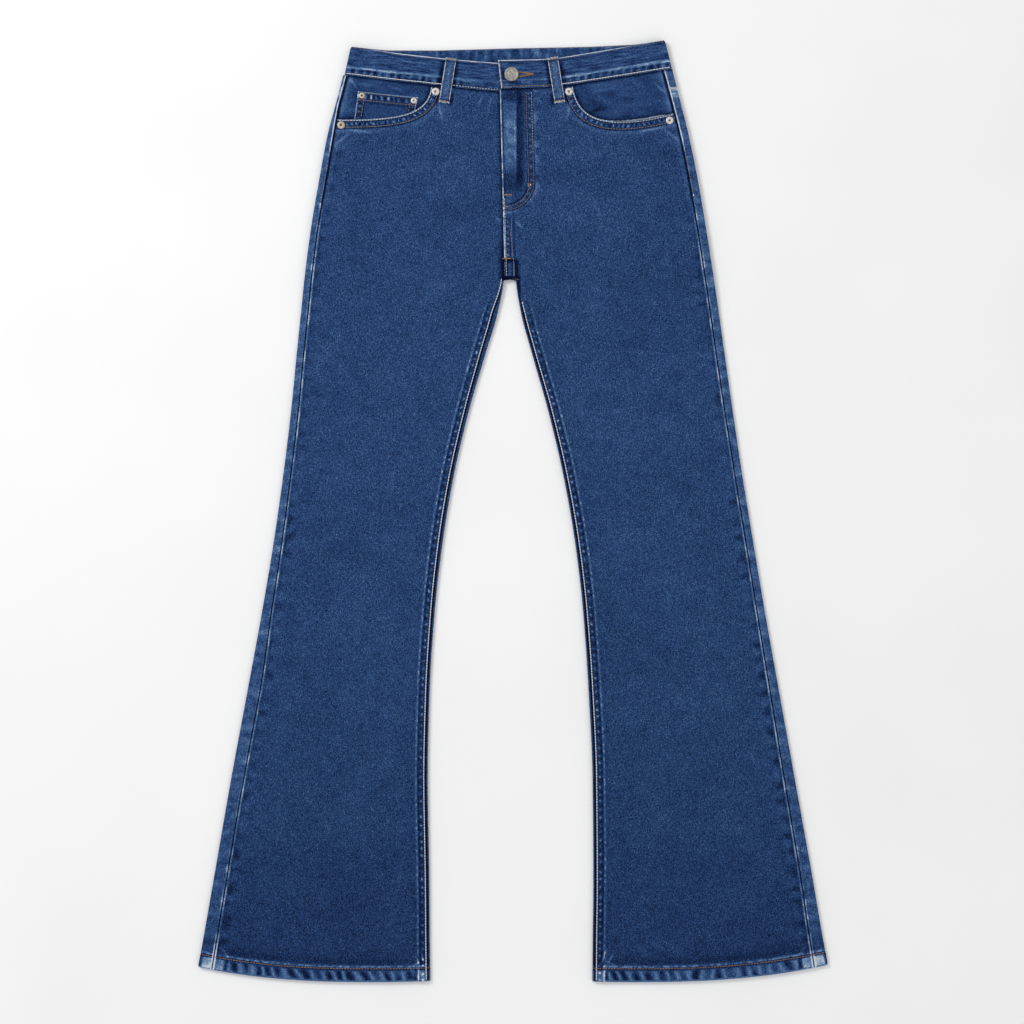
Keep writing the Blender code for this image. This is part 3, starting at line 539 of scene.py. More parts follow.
def leftFrontWearAndShade(f):
    centre, inside = f.mark("fromCentre"), f.mark("insideFly")
    edge = f.profile(centre, (0, 0.72), (1, 0.6), (1.6, 0.1), (2.3, -0.2), (3.2, -0.12), (4.6, 0))
    edge = edge * f.broken(6, 0.66, 1)
    rows = f.profile(
        inside, (-5, 0), (-3.6, 0.1), (-2, 0.08), (-1.1, -0.22), (-0.2, -0.26), (0.7, -0.18), (1.6, 0.02),
        (4.4, 0.02), (5.2, -0.22), (6.2, -0.26), (7.2, -0.18), (8.4, 0), (12, 0),
    )
    puckers = f.bar(inside, 1, 2, 4, 5, 0.4) * (f.ropes(f.y, 8, 1.6) - 0.4)
    outer = f.bar(inside, -9, -6, -2.5, -1, 0.24) * (f.broken(8, 0, 1) - 0.3)
    zipRise = f.profile(f.x, (-13, 0), (-10.5, 0.25), (-6, 0.3), (0, 0.26), (1.2, 0.38), (3, 0.34), (3.8, 0))
    zipFade = f.profile(f.y, (384, 0), (404, 0.35), (432, 1), (462, 1), (486, 0.5), (492, 0))
    zipFade = zipFade * f.broken(9, 0.55, 1.05)
    trough = f.profile(f.x, (3.4, 0), (4.8, -0.26), (10, -0.2), (14, 0))
    trough = trough * f.profile(f.y, (384, 0), (404, 1), (486, 1), (502, 0.6))
    # dark: painted shadow under the waistband across the fly, and a darker band across the fly near the zip's
    # foot
    dark = f.bar(f.x, -14, -10, 8, 14, -0.17)
    dark = dark * f.profile(f.y, (378, 0), (388, 1), (402, 1), (414, 0), (485, 0), (492, 1), (502, 1))
    fly = f.profile(f.y, (352, 0), (360, 1))
    tone = frontWearAndShade(f) + edge * f.profile(f.y, (298, 0), (304, 1)) + rows + (puckers + outer) * fly
    tone = tone + zipRise * zipFade + trough + dark
    tack = f.profile(f.x, (-13, 0), (-11, 0.16), (-3, 0.14), (-1, 0))
    tone = tone + tack * f.bar(f.y, 352, 356, 376, 378, 1) * f.broken(4, 0, 1)
    lowSeam = f.bar(f.y, 300, 306, 344, 356, 1)
    bars = f.ropes(f.y, 7, 1.6) - 0.35
    seam = f.bar(centre, 2.6, 3.6, 5.6, 7, 0.45) * bars
    seam = seam + f.profile(
        centre, (6.4, 0), (7.4, -0.34), (8.6, -0.2), (9.4, 0.3), (10.4, 0), (12.5, -0.22), (15, 0)
    )
    tone = tone + seam * lowSeam
    # Painted crotch shading below: dark lines of shade with pale lines of painted light between them, a dark
    # line of shade under the crotch's bar tack, and shade where the edge rolls down between the legs
    crotch = f.profile(f.y, (276, 1), (296, 1), (298, 1), (303, 0))
    crotchLightAndShade = f.profile(
        f.x, (-14, -0.6), (-12.2, -0.7), (-11.6, -0.1), (-11, 0.26), (-10.2, 0.26), (-9.4, -0.3),
        (-7.6, -0.5), (-6.4, 0), (-2.6, 0), (-1.6, -0.4), (-0.8, -0.2), (-0.1, 0.24), (0.9, 0.24),
        (1.5, -0.4), (3.4, -0.6), (6, -0.2), (9, 0),
    )
    bar = f.bar(f.y, 297, 298.4, 300.4, 301.6, -0.7)
    bar = bar * f.bar(f.x, -15, -13.5, 0, 2, 1)
    foot = f.profile(f.y, (276.5, -0.8), (279.5, -0.7), (281.5, 0)) * f.profile(f.x, (-1, 1), (4, 1), (9, 0))
    tone = tone + crotchLightAndShade * crotch + bar + foot
    # The two dark streaks at x 46 and 62 are painted shadows beside the belt loop; the others are pale
    # streaks
    return f.streaks(tone, (
        ((46, 503), (48, 482), 4, -0.36), ((62, 503), (64, 484), 4, -0.36),
        ((70, 497), (62, 462), 2.6, 0.2), ((78, 478), (84, 460), 2.2, 0.14),
        ((112, -524), (104, -547), 1.5, 0.42), ((120, -530), (112, -546), 1.3, 0.36),
        ((124, -546), (106, -538), 1.3, 0.3), ((26, 499), (34, 486), 2.2, 0.14),
        ((2, 346), (12, 338), 2.4, 0.24), ((146, 453), (188, 461), 2.4, 0.24),
        ((180, 457), (202, 440), 2.6, 0.26), ((352, -520), (336, -540), 1.6, 0.24),
        ((16, 470), (30, 462), 2, 0.12),
    ))


def stripWear(f):  # the part of the back that shows beside the outseam
    seam = f.mark("fromOutseam")
    low = f.profile(
        f.y, (-560, 1), (-430, 1), (-320, 0.35), (200, 0.35), (250, 0.8), (365, 1), (372, 0.2), (425, 0.2),
        (432, 1.5), (500, 1.7),
    )
    near = f.profile(seam, (14, 1), (30, 0))
    mottled = (f.noise(f.place(shift=2.2), 8, 2, 0.7) - 0.5) * 0.5
    blobs = (f.ropes(f.y, 19, 1.3) - 0.4) * 0.16
    base = f.profile(seam, (0, -0.55), (0.6, -0.25), (1, 0.14), (16, 0.13), (30, 0))
    line = f.profile(seam, (0.6, 0), (1.1, 0.44), (1.8, 0.36), (2.6, 0)) * low
    upper = f.profile(f.y, (425, 0), (432, 0.8))
    line = line * (upper + f.broken(14, 0.15, 1) * (1 - upper))
    joint = f.profile(
        f.y, (493, 0), (496, 0.42), (499.5, 0.34), (501.5, 0.12), (504, 0.12), (505.5, 0.34), (507, 0.34),
        (508.5, 0),
    )
    joint = joint * f.profile(f.x, (0, 0.3), (1, 1))
    joint = joint * f.broken(3, 0.7, 1.05)
    return base + line + (mottled + blobs + joint) * near


# Wear of a back panel, with the painted shade above the hem's ridge
def backWearAndShade(f):
    inn, seat, yoke = f.mark("fromInseam"), f.mark("fromSeat"), f.mark("fromYoke")
    tone = stripWear(f) + hemWearAndShade(f)
    tone = tone + f.profile(inn, (0, -0.7), (1, -0.45), (1.6, 0), (5, 0.04), (12, 0))
    bars = f.ropes(f.y, 9, 1.6)
    tone = tone + f.profile(
        seat, (0, 0.2), (0.8, 0.4), (1.6, 0), (8.4, -0.05), (9.6, 0.14), (11, 0.1), (13, 0)
    )
    tone = tone + f.bar(seat, 2.6, 4, 6.4, 7.6, 0.34) * (bars - 0.35)
    return tone + f.profile(yoke, (0, 0), (0.6, 0.3), (1.6, 0.24), (2.6, -0.04), (5, 0)) * f.broken(9, 0.3, 1)


def yokeWearAndShade(f):
    yoke = f.mark("fromYoke")
    rows = f.profile(
        yoke, (0, 0.3), (0.8, 0.42), (1.4, -0.05), (2.4, -0.1), (3.2, 0.1), (7.4, 0.12), (8.2, -0.08),
        (9.4, 0.16), (10.6, -0.12), (12.5, 0),
    )
    # The waistband's painted shadow is added to the yoke's wear
    tone = stripWear(f) + rows + underBandShade(f)
    return tone + f.profile(f.mark("fromSeat"), (0, 0.3), (1, 0.4), (1.8, 0), (9, 0.1), (12, 0))


def facingWearAndShade(f):
    seam, opening = f.mark("fromOutseam"), f.mark("fromOpening")
    line = f.profile(
        seam, (0, -0.6), (1.2, -0.55), (2.2, -0.06), (3.4, 0.24), (5.6, 0.18), (8.5, 0.06), (15, 0)
    )
    # under: painted shadow of the front panel's opening edge on the facing; the waistband's painted shadow is
    # added below
    under = f.profile(opening, (0, -0.45), (1.4, -0.28), (4, -0.08), (8, 0))
    soft = (f.noise(f.place(stretch=(0.45, 1.2, 1), shift=3.3), 13, 1) - 0.5) * 0.42
    tone = line + under + soft + underBandShade(f)
    return f.streaks(tone, (
        ((-197, 519), (-186, 503), 2.2, 0.24), ((-190, 512), (-160, 508), 2.6, 0.14),
        ((-150, 508), (-128, 502), 2.4, 0.16), ((166, 516), (184, 497), 2.4, 0.2),
        ((90, 500), (124, 507), 2.6, 0.12), ((84, 474), (112, 484), 3.6, -0.16),
    ))


def coinWear(f):
    top, side = f.mark("fromTop"), f.mark("fromSide")
    rows = f.profile(
        top, (0, 0.45), (0.9, 0.4), (1.5, -0.22), (2.4, -0.16), (3.2, 0), (8.2, 0), (9, -0.22), (10.2, -0.2),
        (10.9, 0.06), (11.8, -0.22), (14, 0),
    )
    body = f.profile(top, (10, 0), (12, 1))
    flanks = f.profile(
        side, (0, 0.5), (0.9, 0.45), (1.5, -0.34), (2.4, -0.2), (3.2, 0), (6.8, 0), (7.6, -0.36),
        (8.8, -0.3), (10.4, 0),
    )
    dashes = f.bar(top, 2.4, 3.6, 7.2, 8.4, 0.86) * (f.ropes(f.x, 7, 1.4) - 0.32)
    bars = f.bar(side, 2.4, 3.4, 6.2, 7.2, 0.7) * (f.ropes(f.y, 6, 1.5) - 0.38) * body
    edge = f.profile(side, (0, 0.5), (0.9, 0.4), (1.5, 0))
    return rows + flanks * body + dashes + bars + edge * (1 - body)


def patchWear(f):
    top, side = f.mark("fromTop"), f.mark("fromSide")
    rows = f.profile(
        top, (0, 0.4), (1, 0.34), (2, 0), (13.6, 0), (14.6, -0.16), (15.8, -0.14), (16.6, 0.28), (18.4, 0),
        (21, -0.08), (26, 0),
    )
    body = f.profile(top, (15, 0), (17, 1))
    edges = f.profile(
        side, (0, 0.45), (0.9, 0.38), (1.6, -0.12), (2.6, 0), (7.4, -0.08), (9, -0.1), (10.2, 0.12), (12, 0)
    )
    dashes = f.bar(top, 2, 4, 11, 13.6, 0.5) * (f.ropes(f.x, 13, 1.4) - 0.4)
    bars = f.bar(side, 2.6, 3.6, 6, 7.2, 0.34) * (f.ropes(f.y + f.x, 9.5, 1.6) - 0.36) * body
    return rows + edges * body + dashes + bars


def bandWearAndShade(f):
    low, high, along = f.mark("fromLow"), f.mark("fromHigh"), f.mark("alongBand")
    face = f.profile(f.mark("outside"), (-0.4, 0), (0.4, 1))
    base = f.profile(
        low, (0, 0.3), (0.7, 0.1), (1.2, -0.16), (2.6, -0.18), (3.4, 0), (7.8, 0.02), (9.4, 0.1),
        (11.8, -0.04), (14, -0.05), (19, 0),
    )
    plain = f.profile(f.x, (-66, 1), (-56, 0.25), (42, 0.25), (56, 1))
    ridge = f.profile(low, (7.6, 0), (9.4, 0.3), (10.8, 0.26), (12.4, 0)) * plain
    bars = f.ropes(along + low * 0.3, 9.3, 0.9, 0.5)
    blobs = f.bar(low, 1.8, 3.4, 7.6, 9.2, -0.52) * (bars - 0.24) * plain + ridge
    aside = f.profile(f.x, (-185, 0.15), (-140, 1), (125, 1), (170, 0.15))
    top = f.profile(high, (0, 0.74), (0.8, 0.62), (1.4, -0.06), (3.2, -0.14), (5.5, 0)) * aside
    lay = f.node("ShaderNodeCombineXYZ", {}, {0: along * 0.00005, 1: low * 0.0004})
    streaks = (f.noise(lay, 1, 2, 0.6) - 0.5) * 1.05
    # Dark streaks along both sides of each front belt loop: painted shadows of the loops on the band
    for start, end in (
        ((-68, 546), (-77, 486)), ((-82, 545), (-91, 486)),
        ((53.5, 546), (63, 486)), ((40, 546), (49, 486)),
    ):
        streaks = streaks + f.streak(start, end, 5.5, -0.44)
    for start, end in (((-14, 516), (10, 511)), ((-13.5, 532), (-12.5, 512))):  # painted shadow of the button on the band
        streaks = streaks + f.streak(start, end, 3.4, -0.32)
    end = f.mark("fromEnd")
    end = f.profile(end, (0, 0.68), (0.8, 0.56), (1.4, -0.06), (2.6, -0.12), (3.6, 0.05), (9, 0.08), (13, 0))
    inside = (f.noise(f.place(stretch=(1.3, 0.6, 1), shift=9.7), 7, 1, 0.65) - 0.5) * 0.9
    inside = inside + f.profile(high, (0, -0.25), (0.8, -0.1), (1.6, 0.12), (3, 0))
    return (base + blobs + top + streaks + end) * face + inside * (1 - face)


def loopWear(f):
    edge, end = f.mark("fromEdge"), f.mark("fromEnd")
    flanks = f.profile(
        edge, (0, 0.64), (0.7, 0.54), (1.2, 0.05), (1.8, -0.16), (2.6, -0.06), (3.4, 0.12), (6.2, 0.2)
    )
    ends = f.profile(end, (0, 0.4), (0.8, 0.3), (1.5, 0), (3.4, -0.34), (4.6, -0.2), (6.5, 0))
    return flanks + ends + (f.noise(f.place(shift=9.9), 4, 1, 0.6) - 0.5) * 0.5


def denimWrongSide(name):  # the pale, weft-faced side
    finish = Finish(name)
    here = finish.place()
    grain = finish.noise(here, 0.9, detail=2.0, roughness=0.6)
    broad = finish.noise(here, 9.0, detail=2.0)
    stops = (0.25, (84, 100, 128)), (0.5, (124, 138, 160)), (0.8, (176, 184, 196))
    colour = finish.scale(grain * 0.75 + broad * 0.25, *stops)
    normal = finish.bump(0.5, 0.2, grain)
    return finish.shader(colour, normal, **{"Roughness": 0.9, "Specular IOR Level": 0.2})


def threadFinish(name, dark, middle, pale):
    finish = Finish(name)
    here = finish.place()
    ply = finish.noise(here, 0.5, detail=1.0)
    lot = finish.noise(here, 6.0, detail=1.0)
    colour = finish.scale(ply * 0.55 + lot * 0.45, (0.3, dark), (0.5, middle), (0.72, pale))
    normal = finish.bump(0.4, 0.1, ply)
    return finish.shader(colour, normal, **{"Roughness": 0.6, "Specular IOR Level": 0.35})


def metalFinish(name, dark, middle, pale, roughness, metallic=0.85, shadedPit=0.0):  # paints shade into a rivet's hollow middle
    finish = Finish(name)
    here = finish.place()
    cloud = finish.noise(here, 2.4, detail=3.0, roughness=0.6)
    grit = finish.noise(here, 0.35, detail=2.0)
    tone = cloud * 0.7 + grit * 0.3
    if shadedPit:
        fromMiddle = finish.mark("fromMiddle")
        tone = tone + finish.profile(fromMiddle, (0, -0.42), (shadedPit * 0.6, -0.34), (shadedPit * 1.3, 0))
    # the darkest stop serves the painted shade in a rivet's middle
    colour = finish.scale(tone, (0.0, (52, 46, 44)), (0.3, dark), (0.5, middle), (0.7, pale))
    normal = finish.bump(0.35, 0.12, grit + cloud)
    rough = cloud * 0.25 + roughness
    return finish.shader(colour, normal, **{"Roughness": rough, "Metallic": metallic})


materials = {
    "rightFront": denim("rightFrontDenim", rightFrontWearAndShade),
    "leftFront": denim("leftFrontDenim", leftFrontWearAndShade),
    "back": denim("backDenim", backWearAndShade),
    "yoke": denim("yokeDenim", yokeWearAndShade),
    "facing": denim("facingDenim", facingWearAndShade, grain=0.72),
    "coin": denim("coinPocketDenim", coinWear, grain=0.72),
    "patch": denim("backPocketDenim", patchWear),
    "band": denim("bandDenim", bandWearAndShade, across=True, toneShift=0.03, grain=0.75),
    "loop": denim("loopDenim", loopWear, toneShift=0.03),
    "plain": denim("plainDenim"),
    "wrongSide": denimWrongSide("denimWrongSide"),
    "cream": threadFinish("creamThread", (214, 211, 209), (236, 235, 234), (248, 248, 249)),
    "tan": threadFinish("tanThread", (112, 98, 90), (152, 134, 118), (196, 180, 162)),
    "copper": threadFinish("copperThread", (112, 82, 62), (158, 120, 88), (200, 160, 124)),
    "nickel": metalFinish("agedNickel", (176, 171, 168), (216, 211, 208), (244, 240, 238), 0.34, 0.6, 1.3),
    "dullNickel": metalFinish(
        "dullNickel", (140, 126, 108), (192, 178, 158), (226, 214, 198), 0.36, 0.6, 1.2
    ),
    "buttonMetal": metalFinish("buttonMetal", (118, 115, 108), (158, 154, 147), (196, 192, 186), 0.34, 0.7),
    "brass": metalFinish("zipBrass", (120, 92, 48), (176, 142, 82), (206, 176, 120), 0.28),
    "tape": threadFinish("zipTape", (18, 26, 46), (26, 36, 60), (40, 52, 78)),
}
print("materials made:", len(materials))


def finishPiece(piece, slot, *nodes):
    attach(piece, "root")
    if nodes:
        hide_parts(*nodes)
    return piece


def linkMesh(name, mesh, *finishes):
    for finish in finishes:
        mesh.materials.append(materials[finish])
    piece = bpy.data.objects.new(name, mesh)
    bpy.context.collection.objects.link(piece)
    return piece


def meshFrom(name, made):
    mesh = bpy.data.meshes.new(name)
    made.to_mesh(mesh)
    made.free()
    return mesh


def copiesOf(shape, places, name):  # one mesh of many copies of a small shape
    joined = bmesh.new()
    for place in places:
        shape.transform(place)
        joined.from_mesh(shape)
        shape.transform(place.inverted())
    return meshFrom(name, joined)


def upright(x, z):  # the way each point of a level piece looks
    return np.stack([0 * x, 0 * x, 0 * x + z], axis=-1)


def clothPiece(name, place, facing, marks, finish, node, thick=None):
    # a grid of cloth: place holds its points and facing which way each one looks, by row and column
    rows, columns = place.shape[:2]
    cloth = bmesh.new()
    bmesh.ops.create_grid(cloth, x_segments=columns - 1, y_segments=rows - 1, size=1.0)
    mesh = meshFrom(name, cloth)
    assert len(mesh.vertices) == rows * columns
    mesh.vertices.foreach_set("co", (place.reshape(-1, 3) * mm).ravel())
    for mark, values in marks.items():
        kept = mesh.attributes.new(mark, "FLOAT", "POINT")
        kept.data.foreach_set("value", (values + 0 * place[..., 0]).ravel().astype(np.float32))
    mesh.update()
    normals = np.empty(rows * columns * 3)
    mesh.vertices.foreach_get("normal", normals)
    if (normals.reshape(-1, 3) * facing.reshape(-1, 3)).sum() < 0.0:
        mesh.flip_normals()
    mesh.shade_smooth()
    piece = linkMesh(name, mesh, finish, "wrongSide")
    wall = piece.modifiers.new("clothWall", "SOLIDIFY")
    wall.thickness = (thick or garment["clothThickness"]) * mm
    wall.offset = -1.0
    wall.use_rim = True
    wall.material_offset = 1
    finishPiece(piece, "denim", node)
    keepSurface(name, mesh)
    return piece


def keepSurface(name, mesh):
    surface = bmesh.new()
    surface.from_mesh(mesh)
    trees[name] = BVHTree.FromBMesh(surface)
    surface.free()


def sheetArea(mesh):  # the flat size of the cloth in one layer of a mesh, in square metres
    areas = np.empty(len(mesh.polygons))
    mesh.polygons.foreach_get("area", areas)
    return float(areas.sum())


# Fading down the leg: the knee and calf are a little darker than the thigh
fadeByLevel = smoothCurve((-566, -520, -440, -320, -200, -40, 120, 300, 420, 560), (
    -0.112, -0.106, -0.086, -0.048, -0.034, -0.018, -0.010, -0.018, -0.024, -0.012))

# Soft troughs and ridges of the cloth: from, to, width, height and how much paler the top is. They are
# placed where the legs and hips would relax.
creases = {
    "right": (
        ((-40, 428), (-150, 404), 9, 0.45, 0.03),
        ((-28, 400), (-96, 388), 7, 0.4, 0.03),
        ((-26, 372), (-120, 352), 9, -0.45, -0.03),
        ((-30, 350), (-84, 330), 8, 0.35, 0.022),
        ((-60, 452), (-92, 496), 7, 0.45, 0.045),
        ((-100, 460), (-104, 410), 9, 0.3, 0.02),
        ((-190, 452), (-206, 430), 10, 0.45, 0.045),
        ((-175, 436), (-228, 410), 12, -0.35, -0.02),
        ((-70, 268), (-160, 236), 22, 0.5, 0.014),
        ((-180, 180), (-240, 140), 20, -0.5, -0.014),
        ((-80, 120), (-180, 84), 24, -0.45, -0.014),
        ((-120, 20), (-220, 52), 20, 0.45, 0.014),
        ((-140, -60), (-250, -36), 24, -0.5, -0.018),
        ((-110, -20), (-180, -50), 18, 0.45, 0.016),
        ((-130, -150), (-230, -128), 22, 0.4, 0.012),
        ((-200, -230), (-300, -262), 24, -0.5, -0.016),
        ((-130, -310), (-210, -290), 22, 0.45, 0.014),
        ((-240, -400), (-330, -370), 26, 0.5, 0.014),
        ((-150, -440), (-230, -470), 24, -0.5, -0.018),
        ((-118, -524), (-106, -552), 2.2, 0.35, 0.16),
        ((-126, -528), (-116, -546), 2.6, 0.3, 0.11),
        ((-300, -512), (-346, -524), 12, -0.4, -0.022),
    ),
    "left": (
        ((40, 430), (150, 414), 9, 0.45, 0.03),
        ((36, 404), (120, 392), 8, -0.4, -0.026),
        ((30, 382), (96, 372), 7, 0.4, 0.028),
        ((28, 352), (128, 334), 9, 0.35, 0.024),
        ((60, 498), (50, 452), 7, 0.4, 0.035),
        ((96, 448), (80, 404), 10, 0.3, 0.02),
        ((176, 452), (196, 430), 10, 0.45, 0.04),
        ((150, 440), (205, 416), 12, -0.35, -0.02),
        ((40, 262), (130, 226), 22, 0.5, 0.014),
        ((110, 190), (210, 214), 24, -0.45, -0.014),
        ((70, 110), (160, 80), 22, 0.45, 0.014),
        ((150, 10), (240, 44), 22, -0.5, -0.016),
        ((110, -34), (190, -14), 18, 0.45, 0.016),
        ((160, -80), (250, -106), 22, 0.4, 0.012),
        ((110, -190), (200, -170), 24, -0.45, -0.014),
        ((210, -240), (300, -216), 24, 0.5, 0.014),
        ((120, -330), (200, -352), 22, -0.45, -0.016),
        ((230, -380), (320, -410), 26, 0.5, 0.014),
        ((140, -460), (220, -440), 24, 0.45, 0.014),
        ((112, -520), (104, -552), 2.2, 0.35, 0.15),
        ((300, -508), (344, -522), 12, -0.4, -0.022),
    ),
    "seat": (
        ((40, 286), (150, 262), 16, 0.45, 0.03),
        ((36, 262), (120, 226), 14, -0.45, -0.026),
        ((60, 232), (170, 204), 18, 0.45, 0.022),
        ((90, 60), (200, 84), 22, 0.5, 0.018),
        ((110, -30), (210, -52), 18, -0.5, -0.02),
        ((100, -10), (190, -2), 14, 0.45, 0.024),
        ((120, -90), (220, -70), 20, 0.4, 0.014),
        ((130, -220), (240, -250), 24, -0.5, -0.014),
        ((120, -330), (230, -300), 24, 0.5, 0.014),
        ((150, -440), (260, -470), 26, 0.5, 0.014),
        ((120, -500), (170, -530), 16, -0.4, -0.018),
    ),
}


def relax(x, y, table):  # the relief and fade of a table of creases
    high, pale = np.zeros_like(x), np.zeros_like(x)
    for start, end, width, height, paler in table:
        way = np.array(end, float) - np.array(start, float)
        length = np.hypot(*way)
        along = ((x - start[0]) * way[0] + (y - start[1]) * way[1]) / length
        aside = ((x - start[0]) * way[1] - (y - start[1]) * way[0]) / length
        aside = aside + 0.05 * length * np.sin(along / length * math.pi)
        shape = hump(aside, 0.0, width) * between(0.0, length, 0.3 * length, along)
        high += height * shape
        pale += paler * shape
    return high, pale


def hemRelief(along, fromHem, seed):
    bars = ropes(along + 0.4 * fromHem, 14.5, seed, 1.2)
    high = 0.35 * (1.0 - ramp(15.2, 16.4, fromHem)) + 0.30 * bars * hump(fromHem, 8.0, 6.0)
    return high + 0.30 * hump(fromHem, 18.2, 1.6) - 0.35 * hump(fromHem, 15.8, 1.0)


def outseamRelief(y, fromSeam, seed):
    bars = ropes(y, 21.0, seed, 1.2) - 0.42
    low = blend(1.0, 0.45, ramp(-150.0, 150.0, y))
    high = 0.30 * hump(fromSeam, 1.6, 1.2) - 1.0 * hump(fromSeam, 0.0, 0.7)
    return high + 0.30 * bars * low * hump(fromSeam, 6.0, 5.0)


def inseamRelief(y, fromSeam, seed):
    dots = ropes(y, 9.3, seed, 3.0)
    high = 0.60 * (1.0 - ramp(11.0, 12.6, fromSeam)) - 0.9 * hump(fromSeam, 0.0, 0.7)
    return (high + 0.25 * dots * hump(fromSeam, 5.2, 2.0)) * (1.0 - ramp(255.0, 272.0, y))


def insideFly(x, y):  # how far inside the fly's outer row of stitches
    look = flyLook
    (topX, topY), (lowX, lowY) = look["outerTop"], look["outerLow"]
    straight = blend(lowX, topX, portion(lowY, topY, y)) - x
    (cx, cy), (rx, ry) = look["outerCentre"], look["outerRadii"]
    turned = (1.0 - np.hypot((x - cx) / rx, (y - cy) / ry)) * ry
    return np.where(y > cy, straight, turned)


def flyRelief(x, y, fromCentre, inside):
    over = ramp(350.0, 362.0, y)
    high = over * (0.75 * ramp(-0.9, 0.9, inside) + 0.35 * hump(fromCentre, 1.0, 1.2))
    high += 0.55 * between(-12.0, 3.4, 1.2, x) * between(404.0, 487.0, 5.0, y)
    high += 0.30 * hump(x, 2.2, 1.4) * between(400.0, 487.0, 7.0, y)
    return high + 0.35 * between(0.0, 9.0, 1.0, fromCentre) * (1.0 - ramp(352.0, 360.0, y))


def openingRelief(away, walk, seed):
    dashes = ropes(walk, 7.4, seed, 2.0) - 0.36
    high = 0.5 * (1.0 - ramp(9.8, 11.4, away)) + 0.25 * hump(away, 1.0, 1.1)
    return high + 0.25 * dashes * hump(away, 5.4, 2.4)


# The fly in plan: its two rows of stitches, and the level down to which the outer one is bleached
flyLook = {
    "fadedTo": 428.0,
    "outerTop": (21.4, 501.6),
    "outerLow": (24.4, 396.0),
    "outerCentre": (-11.8, 393.0),
    "outerRadii": (36.2, 33.6),
    "innerTop": (15.0, 501.6),
    "innerLow": (18.2, 390.0),
    "innerCentre": (-12.0, 389.0),
    "innerRadii": (30.2, 25.2),
}


def spread(lengths, middleStep, total):  # column places from fine lists at both ends, as shares of the width
    first, last = np.array(lengths[0]), total - np.array(lengths[1])[::-1]
    count = max(2, int(round((last[0] - first[-1]) / middleStep)))
    middle = np.linspace(first[-1], last[0], count + 1)[1:-1]
    return np.concatenate([first, middle, last]) / total


frontColumns = {
    "outer": (0, 0.5, 1.0, 1.6, 2.3, 3.2, 4.2, 5.4, 6.8, 8.4, 10.4, 13.0, 16.0),
    "inner": (
        0, 0.5, 1.0, 1.6, 2.4, 3.4, 4.4, 5.4, 6.6, 8.0, 9.4, 10.6, 11.8, 13.4, 15.3, 17.2, 19.1, 21.0,
        23.0, 25.0, 27.0, 29.0, 31.0, 33.0, 34.8, 36.2, 37.6, 39.4, 42.0,
    ),
    "middleStep": 4.2,
    "nominal": 215.0,
    "fanRows": 74,
    "openingRows": 130,  # the top rows, which lie near the hip pocket's opening
    "waistGap": 0.2,
    "seed": {"right": 100, "left": 500},
}


def legRows():  # levels from the hem's inner layer, round its turn and up to the crotch, and their depths
    radius, top, level = hemShape["foldRadius"], hemShape["tall"] - 1.0, hemShape["level"]
    fold = [(rise, 2 * radius) for rise in np.linspace(top, radius, 7)[:-1]]
    turn = np.linspace(0, math.pi, 8)
    fold += [(radius - radius * math.sin(angle), radius + radius * math.cos(angle)) for angle in turn]
    levels = [level + rise for rise, _ in fold] + list(np.arange(level + 3.0, 266.0, garment["rowStep"]))
    levels += [266.0, 268.0, 270.0, 272.0, 274.0, 275.2, 275.6, 276.0, 276.4, 276.8]
    depth = [deep for _, deep in fold] + [0.0] * (len(levels) - len(fold))
    return levels, depth, len(fold) - hemShape["steepRows"]


def clouded(level, x, y, seed):  # the fade down the leg and its cloudiness
    return fadeByLevel(level) + 0.016 * patchy(x, y, 46.0, seed) + 0.014 * patchy(x, y, 19.0, seed + 1)


def waistEdge(side, x):  # where the front panel ends, just under the waistband
    return waistAt[side](x) - frontColumns["waistGap"]


